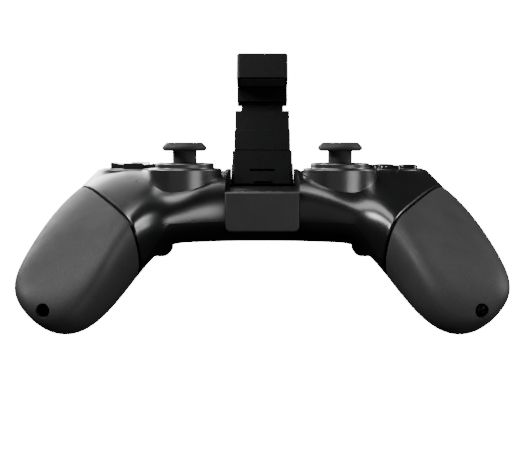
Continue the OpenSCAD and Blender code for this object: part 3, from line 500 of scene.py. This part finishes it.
def carved(bm, *tools, operation="DIFFERENCE"):
    """A shape after each tool has cut it, been added to it or bounded it."""
    blank = bench(bm)
    benches = [bench(tool) for tool in tools]
    for tool in benches:
        cut = blank.modifiers.new("cut", "BOOLEAN")
        cut.solver = "MANIFOLD"
        cut.operation = operation
        cut.object = tool
    result = lifted(blank)
    for tool in benches:
        cleared(tool)
    return result


def soften(bm, width, segments=2, where=None):
    """Rolls over the sharp outer and inner edges of a shape."""
    bm.normal_update()
    edges = [e for e in bm.edges if len(e.link_faces) == 2
             and e.calc_face_angle() > ROUNDED_ANGLE and (where is None or where(e))]
    bmesh.ops.bevel(bm, geom=edges, offset=width, offset_type="OFFSET", affect="EDGES",
                    segments=segments, profile=0.5, material=-1, clamp_overlap=True)
    return bm


def lathe(profile, sides=FINE_SIDES):
    """A profile of radius and height, in millimetres, turned about the upright axis."""
    bm = bmesh.new()
    verts = [bm.verts.new((r * MM, 0, z * MM)) for r, z in profile]
    edges = [bm.edges.new(pair) for pair in zip(verts, verts[1:])]
    if profile[0][0] and profile[-1][0]:
        edges.append(bm.edges.new((verts[-1], verts[0])))
    bmesh.ops.spin(bm, geom=verts + edges, cent=(0, 0, 0), axis=(0, 0, 1), dvec=(0, 0, 0),
                   angle=2 * math.pi, steps=sides, use_merge=True)
    bmesh.ops.remove_doubles(bm, verts=bm.verts, dist=TINY)
    bmesh.ops.recalc_face_normals(bm, faces=bm.faces)
    return bm


def made(bm, name, material, node, seat=SEAT):
    """A finished piece in the row frame: it rides with the CAD node that it stands for."""
    bmesh.ops.transform(bm, matrix=seat, verts=bm.verts)
    bmesh.ops.recalc_face_normals(bm, faces=bm.faces)
    mesh = bpy.data.meshes.new(name)
    bm.to_mesh(mesh)
    bm.free()
    mesh.shade_smooth()
    mesh.set_sharp_from_angle(angle=SHARP_ANGLE)
    mesh.materials.append(finish(material))
    piece = bpy.data.objects.new(name, mesh)
    bpy.context.scene.collection.objects.link(piece)
    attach(piece, frame["nodes"][node]["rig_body"])
    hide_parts(node)
    return piece


def flattened(piece):
    """Keeps the broad faces of a piece flat in its shading, so that only the rolled edges turn."""
    piece.modifiers.new("flat faces", "WEIGHTED_NORMAL").keep_sharp = True


def from_node(node):
    """A clean copy of a CAD node's shape, its flat faces whole again."""
    bm = bmesh.new()
    bm.from_mesh(frame["nodes"][node].data)
    bmesh.ops.remove_doubles(bm, verts=bm.verts, dist=TINY)
    bmesh.ops.dissolve_limit(bm, angle_limit=FLAT_ANGLE, verts=bm.verts, edges=bm.edges)
    return bm


def softened(node, name, material, width, segments=2):
    """A CAD node's own shape with rolled edges."""
    bm = soften(from_node(node), width, segments)
    flattened(made(bm, name, material, node, seat=Matrix.Identity(4)))


def painted(material, *nodes):
    """Gives CAD nodes their finish."""
    for node in nodes:
        slots = frame["nodes"][node].data.materials
        slots.clear()
        slots.append(finish(material))


# Housing form

def station(row):
    """The eight points round one station: corners and the middles between them."""
    across, front, rear, top_front, top_rear, low_front, low_rear, ridge_y, ridge_z, square = row
    x = across * HALF_WIDTH
    corners = [Vector((x, y, z * GRIP_DROP)) for y, z in (
        (front * NOSE_REACH, top_front), (rear * TAIL_REACH, top_rear),
        (rear * TAIL_REACH, low_rear), (front * NOSE_REACH, low_front))]
    heart = sum(corners, Vector()) / 4
    between = [Vector((x, ridge_y * TAIL_REACH, ridge_z * GRIP_DROP))]
    between += [(corners[k] + corners[(k + 1) % 4]) / 2 for k in (1, 2, 3)]
    points = []
    for corner, side in zip(corners, between):
        points += [heart + square * (corner - heart), side]
    return [p * MM for p in points]


def skin(levels, grow=0.0):
    """The outer form: rings drawn out from station to station, closed, mirrored and smoothed."""
    bm = bmesh.new()
    rows = [station(row) for row in FORM_SHARES]
    ring = [bm.verts.new(p) for p in rows[0]]
    edges = [bm.edges.new((ring[k], ring[(k + 1) % RING])) for k in range(RING)]
    for points in rows[1:]:
        drawn = bmesh.ops.extrude_edge_only(bm, edges=edges)["geom"]
        fresh = [g for g in drawn if isinstance(g, bmesh.types.BMVert)]
        ring = [min(fresh, key=lambda v, p=old.co: (v.co - p).length) for old in ring]
        for vert, point in zip(ring, points):
            vert.co = point
        edges = [bm.edges.get((ring[k], ring[(k + 1) % RING])) for k in range(RING)]
    cap = bmesh.ops.contextual_create(bm, geom=edges)["faces"]
    bmesh.ops.poke(bm, faces=cap)
    bmesh.ops.mirror(bm, geom=bm.verts[:] + bm.edges[:] + bm.faces[:], axis="X",
                     matrix=Matrix.Identity(4), merge_dist=TINY)
    bmesh.ops.recalc_face_normals(bm, faces=bm.faces)
    blank = bench(bm)
    smooth = blank.modifiers.new("smooth", "SUBSURF")
    smooth.levels = smooth.render_levels = levels
    bm = lifted(blank)
    if grow:
        bm.normal_update()
        for vert, normal in [(v, v.normal.copy()) for v in bm.verts]:
            vert.co += normal * grow * MM
    return bm


def seam_plane(shift, side=1):
    """A point on the grip seam's plane, moved out by millimetres, and the way to the grip's end."""
    tilt = Matrix.Rotation(-SEAM_TURN, 3, "Z") @ Matrix.Rotation(SEAM_DIP, 3, "Y")
    out = tilt @ Vector((1, 0, 0))
    point = (Vector((SEAM_X, 0, 0)) + out * shift) * MM
    return Vector((side * point.x, point.y, point.z)), Vector((side * out.x, out.y, out.z))


def trimmed(bm, point, way, lip=0.0):
    """Cuts off what lies beyond a plane and rolls the rim over by the lip's radius."""
    for share in LIP_SHARES if lip else ():
        bmesh.ops.bisect_plane(bm, geom=bm.verts[:] + bm.edges[:] + bm.faces[:], dist=SNAP,
                               plane_co=point - way * lip * share, plane_no=way)
    bmesh.ops.bisect_plane(bm, geom=bm.verts[:] + bm.edges[:] + bm.faces[:], dist=SNAP,
                           plane_co=point, plane_no=way, clear_outer=True)
    if lip:
        bm.normal_update()
        rolled = []
        for vert in bm.verts:
            depth = (point - vert.co).dot(way)
            if depth < lip:
                outward = vert.normal - way * vert.normal.dot(way)
                sag = lip - math.sqrt(max(0, lip ** 2 - (lip - depth) ** 2))
                rolled.append((vert, outward.normalized() * sag))
        for vert, move in rolled:
            vert.co -= move
    bmesh.ops.holes_fill(bm, edges=[e for e in bm.edges if e.is_boundary], sides=0)
    return bm


def side_bays():
    """The room for one side's bumper and trigger."""
    return joined(side_profile(*BAY, TRIGGER_ROOM), brick(*BAY, *BUMPER_ROOM))


def posts(screws, studs):
    """The posts of one side's screws and studs, which the cavity leaves standing."""
    return [
        *[post(x, y, -OUTSIDE, HIGH, POST_R) for x, y, _ in screws],
        *[post(x, y, -OUTSIDE, STUD_TOP, STUD_R) for x, y in studs],
    ]


def bay_walls():
    """The bay walls that the cavity leaves standing on one side, with the posts beside them."""
    walls = side_profile(BAY[0] - BAY_WALL, BAY[1] + BAY_WALL, BAY_BLOCK)
    return joined(walls, *posts(SCREWS[1:], STUDS[:2]))


def key_collar():
    """The swell of the deck round one key cluster: a steep cone, kept short at the rear."""
    foot, rim = CLUSTER + Vector((0, 0, COLLAR_LOW)), CLUSTER + Vector((0, 0, COLLAR_TOP))
    swell = cone(foot, rim, COLLAR_RIM + COLLAR_TOP - COLLAR_LOW, COLLAR_RIM, FINE_SIDES)
    centre_y = CLUSTER.y + COLLAR_REAR - COLLAR_REACH
    reach = post(CLUSTER.x, centre_y, COLLAR_LOW, COLLAR_TOP, COLLAR_REACH, FINE_SIDES)
    return carved(swell, reach, operation="INTERSECT")


def deck_cuts():
    """Everything that opens the deck: the clamp's channel, the pods' and the keys' places."""
    low, front, hinge_low = FLOOR - FLOOR_WALL, HINGE_Y - HINGE_ROOM, HINGE_Z - HINGE_ROOM
    channel = side_profile(-EAR_OUT, EAR_OUT, (
        (BLOCK_BACK, CLEAR), (BLOCK_BACK, low), (front, low),
        (front, hinge_low), (OUTSIDE, hinge_low), (OUTSIDE, CLEAR)))
    side = joined(
        post(STICK.x, STICK.y, -OUTSIDE, HIGH, POD_HOLE_R, FINE_SIDES),
        post(CLUSTER.x, CLUSTER.y, WELL_LOW, HIGH, WELL_R, FINE_SIDES),
        *[post(x, y, SMALL_WELL_LOW, HIGH, SMALL_WELL_R) for x, y in SMALL_KEYS],
        side_bays(),
    )
    return joined(channel, on_both_sides(side))


def parted(top):
    """The space above the parting line, or below it."""
    (x0, z0), (x1, z1) = PARTING
    end = OUTSIDE if top else -OUTSIDE
    line = (
        (-WIDE, z1), (-x1, z1), (-x0, z0), (x0, z0),
        (x1, z1), (WIDE, z1), (WIDE, end), (-WIDE, end),
    )
    return drawn_out([(x, -WIDE, z) for x, z in line], (0, 2 * WIDE, 0))


# Steps, one for each group of pieces

class CONTROLLER_OT_finishes(bpy.types.Operator):
    """Mixes the finishes and gives the inner nodes theirs"""

    bl_idname = "controller.finishes"
    bl_label = "Finishes"

    def execute(self, context):
        tone = context.scene.controller_colours
        plastic("shell", tone.shell, rough=0.3, grain=2600, strength=0.10,
                spread=0.03, coat=0.9, coat_rough=0.26)
        plastic("under", tone.under, rough=0.55, grain=2200, strength=0.2, specular=0.2)
        plastic("grip", tone.grip, rough=0.55, grain=1900, strength=0.45,
                specular=0.3, cells=True)
        plastic("block", tone.block, rough=0.42, grain=2600, strength=0.2, specular=0.4)
        plastic("clamp", tone.clamp, rough=0.5, grain=2400, strength=0.25, specular=0.16)
        plastic("cradle", SHADES["cradle"], rough=0.3, grain=2000, strength=0.12)
        plastic("pod", SHADES["pod"], rough=0.36, grain=3000, strength=0.05,
                spread=0.02, specular=1.0, coat=1.0, coat_rough=0.3)
        plastic("key", SHADES["key"], rough=0.22, grain=3000, strength=0.05,
                spread=0.02, coat=0.2)
        plastic("rubber", tone.rubber, rough=0.6, grain=2600, strength=0.4,
                specular=0.3, sheen=0.05, cells=True)
        plastic("case", SHADES["case"], rough=0.5, grain=2000, strength=0.2)
        plastic("cell", SHADES["cell"], rough=0.25, grain=500, strength=0.3, light=0.05)
        plastic("membrane", SHADES["membrane"], rough=0.6, grain=2600, strength=0.2)
        plastic("lens", SHADES["lens"], rough=0.12, grain=2000, strength=0.05, coat=0.5)
        metal("steel", tone.steel, rough=0.28)
        metal("black_screw", SHADES["black_screw"], rough=0.5)
        metal("port", SHADES["port"], rough=0.3)
        circuit("board", SHADES["mask"], SHADES["copper"])
        painted("board", "main_board", "left_key_board", "right_key_board")
        painted("cell", "battery")
        painted("membrane", "dpad_membrane", "button_membrane")
        painted("lens", "status_lights")
        painted("steel", "trigger_pins", "clamp_pin", "dpad_pivot",
                "left_trigger_spring", "right_trigger_spring")
        painted("port", "usb_port")
        for side in ("left", "right"):
            painted("case", f"{side}_stick_module")
            painted("steel", f"{side}_gimbal_ring", f"{side}_gimbal_block", f"{side}_stick_stem")
        return {"FINISHED"}


class CONTROLLER_OT_housing(bpy.types.Operator):
    """Moulds the upper and lower shells from the smooth form"""

    bl_idname = "controller.housing"
    bl_label = "Housing shells"

    def execute(self, context):
        sizes = context.scene.controller_sizes
        cavity = skin(sizes.detail - 1, -WALL)
        solid = skin(sizes.detail)
        for side in (1, -1):
            solid = trimmed(solid, *seam_plane(-SEAM_GAP / 2, side), lip=sizes.seam_lip)
            cavity = trimmed(cavity, *seam_plane(-SEAM_GAP / 2 - WALL, side))
        centre_posts = joined(*posts(SCREWS[:1], STUDS[2:]))
        cavity = carved(cavity, on_both_sides(bay_walls()), on_both_sides(centre_posts))
        half = CHANNEL_HALF + BLOCK_FIT
        pocket = brick(-half, half, -OUTSIDE, BLOCK_BACK, BLOCK_LOW - BLOCK_FIT, CLEAR)
        boss = rod((ARM[1].x, TIP_SEAT, ARM[1].z), ARM[1] + ARM_LAP, TIP_BOSS_R)
        arms = on_both_sides(joined(rod(*ARM, ARM_R), boss))
        upper = carved(solid.copy(), parted(True), operation="INTERSECT")
        upper = carved(upper, key_collar(), flipped(key_collar()), operation="UNION")
        upper = carved(upper, cavity.copy(), deck_cuts(), pocket.copy())
        neck = trimmed(skin(sizes.detail - 1, -SEAM_DEPTH), *seam_plane(SEAM_GAP))
        point, way = seam_plane(-SEAM_GAP)
        necks = on_both_sides(trimmed(neck, point, -way))
        made(joined(upper, arms, necks), "upper_shell", "shell", "top_housing")
        heads = joined(*[post(x, y, -OUTSIDE, z, HEAD_HOLE_R) for x, y, z in SCREWS])
        lower = carved(solid, parted(False), operation="INTERSECT")
        lower = carved(lower, cavity, on_both_sides(side_bays()), pocket, on_both_sides(heads))
        made(lower, "lower_shell", "under", "bottom_housing")
        return {"FINISHED"}


class CONTROLLER_OT_grips(bpy.types.Operator):
    """Moulds the two grip sleeves with their rolled seams and screw holes"""

    bl_idname = "controller.grips"
    bl_label = "Grip sleeves"

    def execute(self, context):
        sizes = context.scene.controller_sizes
        point, way = seam_plane(SEAM_GAP / 2)
        solid = trimmed(skin(sizes.detail), point, -way, lip=sizes.seam_lip)
        room = skin(sizes.detail - 1, -GRIP_WALL)
        room = trimmed(room, point - way * MOUTH_OVERRUN * MM, -way)
        x, z = TIP_SCREW
        room = carved(room, rod((x, TIP_FRONT, z), (x, TIP_SEAT, z), TIP_BOSS_R))
        head_hole = rod((x, -OUTSIDE, z), (x, TIP_FRONT + TIP_SINK, z), TIP_HEAD_HOLE_R)
        shank_hole = rod((x, -CLEAR, z), (x, TIP_SEAT + TIP_OVERRUN, z), TIP_HOLE_R)
        sleeve = carved(solid, room, head_hole, shank_hole)
        made(flipped(sleeve), "left_sleeve", "grip", "left_grip")
        made(sleeve, "right_sleeve", "grip", "right_grip")
        return {"FINISHED"}


class CONTROLLER_OT_front(bpy.types.Operator):
    """Shapes the front block and the clamp's cradle"""

    bl_idname = "controller.front"
    bl_label = "Front block and cradle"

    def execute(self, context):
        sizes = context.scene.controller_sizes
        bm = brick(-CHANNEL_HALF, CHANNEL_HALF, BLOCK_FRONT, BLOCK_BACK, BLOCK_LOW, FLOOR)
        level = [e for e in bm.edges if abs(e.verts[0].co.y - e.verts[1].co.y) > TINY]
        low = [e for e in level if e.verts[0].co.z < (BLOCK_LOW + FLOOR) / 2 * MM]
        bmesh.ops.bevel(bm, geom=low, offset=BLOCK_CORNER * MM, affect="EDGES",
                        segments=CORNER_STEPS, profile=0.5, material=-1)
        halfway = (BLOCK_FRONT + BLOCK_BACK) / 2 * MM
        soften(bm, sizes.block_edge, segments=3,
               where=lambda e: max(v.co.y for v in e.verts) < halfway)
        flattened(made(bm, "front_cover", "block", "front_block"))
        softened("clamp_cradle", "channel_cradle", "cradle", sizes.edge / 2)
        return {"FINISHED"}


def dome_arc(radius, turns):
    """Points on a stick's dome round its pivot, at angles in degrees from the upright."""
    angles = [math.radians(turn) for turn in turns]
    return [(radius * math.sin(a), radius * math.cos(a) - PIVOT_DROP) for a in angles]


class CONTROLLER_OT_sticks(bpy.types.Operator):
    """Turns the stick pods, the rubber caps and their domes"""

    bl_idname = "controller.sticks"
    bl_label = "Sticks"

    def execute(self, context):
        for side, sign in (("left", -1), ("right", 1)):
            place = (sign * STICK.x, STICK.y, 0)
            pod = lathe(POD_OUTLINE)
            soften(pod, POD_EDGE * MM, segments=3,
                   where=lambda e: e.verts[0].co.z > POD_SHOULDER * MM)
            flattened(made(moved(pod, place), f"{side}_pod", "pod", f"{side}_stick_pod"))
            cap = lathe((*CAP_STEM, *dome_arc(DOME_R - DOME_WALL, DOME_INSIDE),
                         *dome_arc(DOME_R, DOME_OUTSIDE), *CAP_HEAD))
            made(moved(cap, place), f"{side}_thumb_cap", "rubber", f"{side}_stick_cap")
        return {"FINISHED"}


class CONTROLLER_OT_keys(bpy.types.Operator):
    """Shapes the key clusters, the direction pad and the buttons"""

    bl_idname = "controller.keys"
    bl_label = "Keys"

    def execute(self, context):
        sizes = context.scene.controller_sizes
        softened("dpad_bezel", "left_key_plate", "pod", sizes.edge / 2)
        softened("button_bezel", "right_key_plate", "pod", sizes.edge / 2)
        softened("dpad", "direction_pad", "key", sizes.edge * 1.5, segments=3)
        for name, dx, dy in FACE_KEYS:
            button = moved(lathe(KEY_OUTLINE, KEY_SIDES), CLUSTER + Vector((dx, dy, 0)))
            made(button, f"{name}_face_button", "key", f"button_{name}")
        for name in ("select", "start", "turbo", "home"):
            softened(f"{name}_button", f"{name}_key", "rubber", sizes.edge, segments=3)
        return {"FINISHED"}


class CONTROLLER_OT_shoulders(bpy.types.Operator):
    """Shapes the bumpers and the triggers"""

    bl_idname = "controller.shoulders"
    bl_label = "Bumpers and triggers"

    def execute(self, context):
        sizes = context.scene.controller_sizes
        room = brick(BAY[0] + BAY_GAP, BAY[1] - BAY_GAP, *BUMPER_BAR)
        bar = carved(skin(sizes.detail, BUMPER_LIFT), room, operation="INTERSECT")
        made(flipped(bar), "left_bumper_bar", "key", "left_bumper")
        made(bar, "right_bumper_bar", "key", "right_bumper")
        for side in ("left", "right"):
            softened(f"{side}_trigger", f"{side}_trigger_lever", "key", sizes.edge * 2,
                     segments=3)
        return {"FINISHED"}


class CONTROLLER_OT_clamp(bpy.types.Operator):
    """Softens the phone clamp's sleeve, slides and jaws and lays in the pads"""

    bl_idname = "controller.clamp"
    bl_label = "Phone clamp"

    def execute(self, context):
        sizes = context.scene.controller_sizes
        slides = {"clamp_base": "clamp_sleeve", "middle_slide": "clamp_middle",
                  "top_slide": "clamp_top"}
        for node, name in slides.items():
            softened(node, name, "clamp", sizes.edge)
        for jaw in ("lower", "upper"):
            softened(f"{jaw}_jaw_pad", f"{jaw}_pad", "rubber", sizes.edge / 2)
        return {"FINISHED"}


def screw(head_r):
    """One screw, its head down and its seat at height 0."""
    head = [(head_r + out, z) for out, z in HEAD_RIM]
    bm = lathe(((0, head[0][1]), *head, *SHANK), SCREW_SIDES)
    across = brick(-CROSS_HALF, CROSS_HALF, -CROSS_THIN, CROSS_THIN, *CROSS_HEIGHTS)
    along = brick(-CROSS_THIN, CROSS_THIN, -CROSS_HALF, CROSS_HALF, *CROSS_HEIGHTS)
    return carved(bm, across, along)


class CONTROLLER_OT_screws(bpy.types.Operator):
    """Turns the screws and cuts their cross recesses"""

    bl_idname = "controller.screws"
    bl_label = "Screws"

    def execute(self, context):
        shells = joined(*[moved(screw(HEAD_R), spot) for spot in SCREWS])
        made(on_both_sides(shells), "shell_screws", "black_screw", "housing_screws")
        tip = screw(TIP_HEAD_R)
        forward = Matrix.Rotation(math.radians(-90), 4, "X")
        bmesh.ops.transform(tip, matrix=forward, verts=tip.verts)
        x, z = TIP_SCREW
        tips = on_both_sides(moved(tip, (x, TIP_FRONT + TIP_SINK, z)))
        made(tips, "sleeve_screws", "black_screw", "grip_screws")
        return {"FINISHED"}


# Studio

def facing(where):
    """The turn that faces a panel to the controller, level unless it hangs overhead."""
    back = (where - AIM).normalized()
    up = Vector((0, 1, 0)) if back.z > OVERHEAD else Vector((0, 0, 1))
    across = up.cross(back).normalized()
    return Matrix((across, back.cross(across), back)).transposed()


def lay_floor(scene):
    """Lays a pale floor that glows for the camera only."""
    bm = bmesh.new()
    bmesh.ops.create_grid(bm, x_segments=2, y_segments=2, size=FLOOR_HALF)
    bmesh.ops.translate(bm, vec=(0, 0, -FLOOR_DROP), verts=bm.verts)
    mesh = bpy.data.meshes.new("floor")
    bm.to_mesh(mesh)
    bm.free()
    floor = bpy.data.objects.new("floor", mesh)
    scene.collection.objects.link(floor)
    nodes, links, shader, place = node_tree("paper")
    flecks = mottle(nodes, links, place, PAPER_SCALE, 0, 1)
    shade = tinted(nodes, links, flecks, SHADES["paper"], PAPER_LIGHT)
    links.new(shade, shader.inputs["Base Color"])
    shader.inputs["Roughness"].default_value = PAPER_ROUGH
    shader.inputs["Emission Color"].default_value = WHITE
    shader.inputs["Emission Strength"].default_value = FLOOR_GLOW
    mesh.materials.append(finish("paper"))
    floor.visible_diffuse = floor.visible_glossy = False


def light_room(scene):
    """Sets a dim room with a pale backdrop that only the camera sees."""
    world = bpy.data.worlds.new("studio")
    world.use_nodes = True
    nodes, links = world.node_tree.nodes, world.node_tree.links
    glows = (nodes["Background"], nodes.new("ShaderNodeBackground"))
    mix = nodes.new("ShaderNodeMixShader")
    links.new(nodes.new("ShaderNodeLightPath").outputs["Is Camera Ray"], mix.inputs[0])
    for glow, strength, socket in zip(glows, (ROOM_LIGHT, BACKDROP), mix.inputs[1:]):
        glow.inputs["Color"].default_value = WHITE
        glow.inputs["Strength"].default_value = strength
        links.new(glow.outputs[0], socket)
    links.new(mix.outputs[0], nodes["World Output"].inputs["Surface"])
    scene.world = world


def hang_panels(scene):
    """Hangs the studio's lights, each facing the controller."""
    for name, where, size, power in PANELS:
        light = bpy.data.lights.new(name, "AREA")
        light.shape = "RECTANGLE"
        light.size, light.size_y = size
        light.energy = power
        panel = bpy.data.objects.new(name, light)
        panel.location = where
        panel.rotation_euler = facing(Vector(where)).to_euler()
        scene.collection.objects.link(panel)


def set_camera(scene):
    """Sets the camera in front of the controller, looking a little down."""
    lens = bpy.data.cameras.new("camera")
    lens.lens, lens.sensor_width = LENS, SENSOR
    lens.shift_x = SHIFT
    lens.clip_start = NEAREST
    camera = bpy.data.objects.new("camera", lens)
    camera.location = SEAT @ (EYE * MM)
    camera.rotation_euler = (math.radians(90 - LOOK_DOWN) - TILT, 0, 0)
    scene.collection.objects.link(camera)
    scene.camera = camera


class CONTROLLER_OT_stage(bpy.types.Operator):
    """Lays the pale floor and sets the studio lights and the camera"""

    bl_idname = "controller.stage"
    bl_label = "Stage"

    def execute(self, context):
        for part in (lay_floor, light_room, hang_panels, set_camera):
            part(context.scene)
        return {"FINISHED"}


# Sidebar and running

class CONTROLLER_PT_sidebar(bpy.types.Panel):
    """Lists the controller's pieces, sizes and colours"""

    bl_idname = "CONTROLLER_PT_sidebar"
    bl_label = "Controller"
    bl_space_type = "VIEW_3D"
    bl_region_type = "UI"
    bl_category = "Controller"

    def draw(self, context):
        for group in (context.scene.controller_sizes, context.scene.controller_colours):
            for key in group.bl_rna.properties.keys():
                if key not in ("rna_type", "name"):
                    self.layout.prop(group, key)
        for step in STEPS:
            self.layout.operator(step.bl_idname)


GROUPS = (ControllerSizes, ControllerColours)
STEPS = (
    CONTROLLER_OT_finishes, CONTROLLER_OT_stage, CONTROLLER_OT_housing, CONTROLLER_OT_grips,
    CONTROLLER_OT_front, CONTROLLER_OT_sticks, CONTROLLER_OT_keys, CONTROLLER_OT_shoulders,
    CONTROLLER_OT_clamp, CONTROLLER_OT_screws,
)


def register():
    """Adds the steps, the settings and the sidebar."""
    for item in (*GROUPS, *STEPS, CONTROLLER_PT_sidebar):
        bpy.utils.register_class(item)
    bpy.types.Scene.controller_sizes = PointerProperty(type=ControllerSizes)
    bpy.types.Scene.controller_colours = PointerProperty(type=ControllerColours)


def unregister():
    """Takes them away again."""
    del bpy.types.Scene.controller_colours
    del bpy.types.Scene.controller_sizes
    for item in reversed((*GROUPS, *STEPS, CONTROLLER_PT_sidebar)):
        bpy.utils.unregister_class(item)


def main():
    """Builds every piece in order."""
    register()
    for step in STEPS:
        group, name = step.bl_idname.split(".")
        getattr(getattr(bpy.ops, group), name)()


if __name__ == "__main__":
    main()
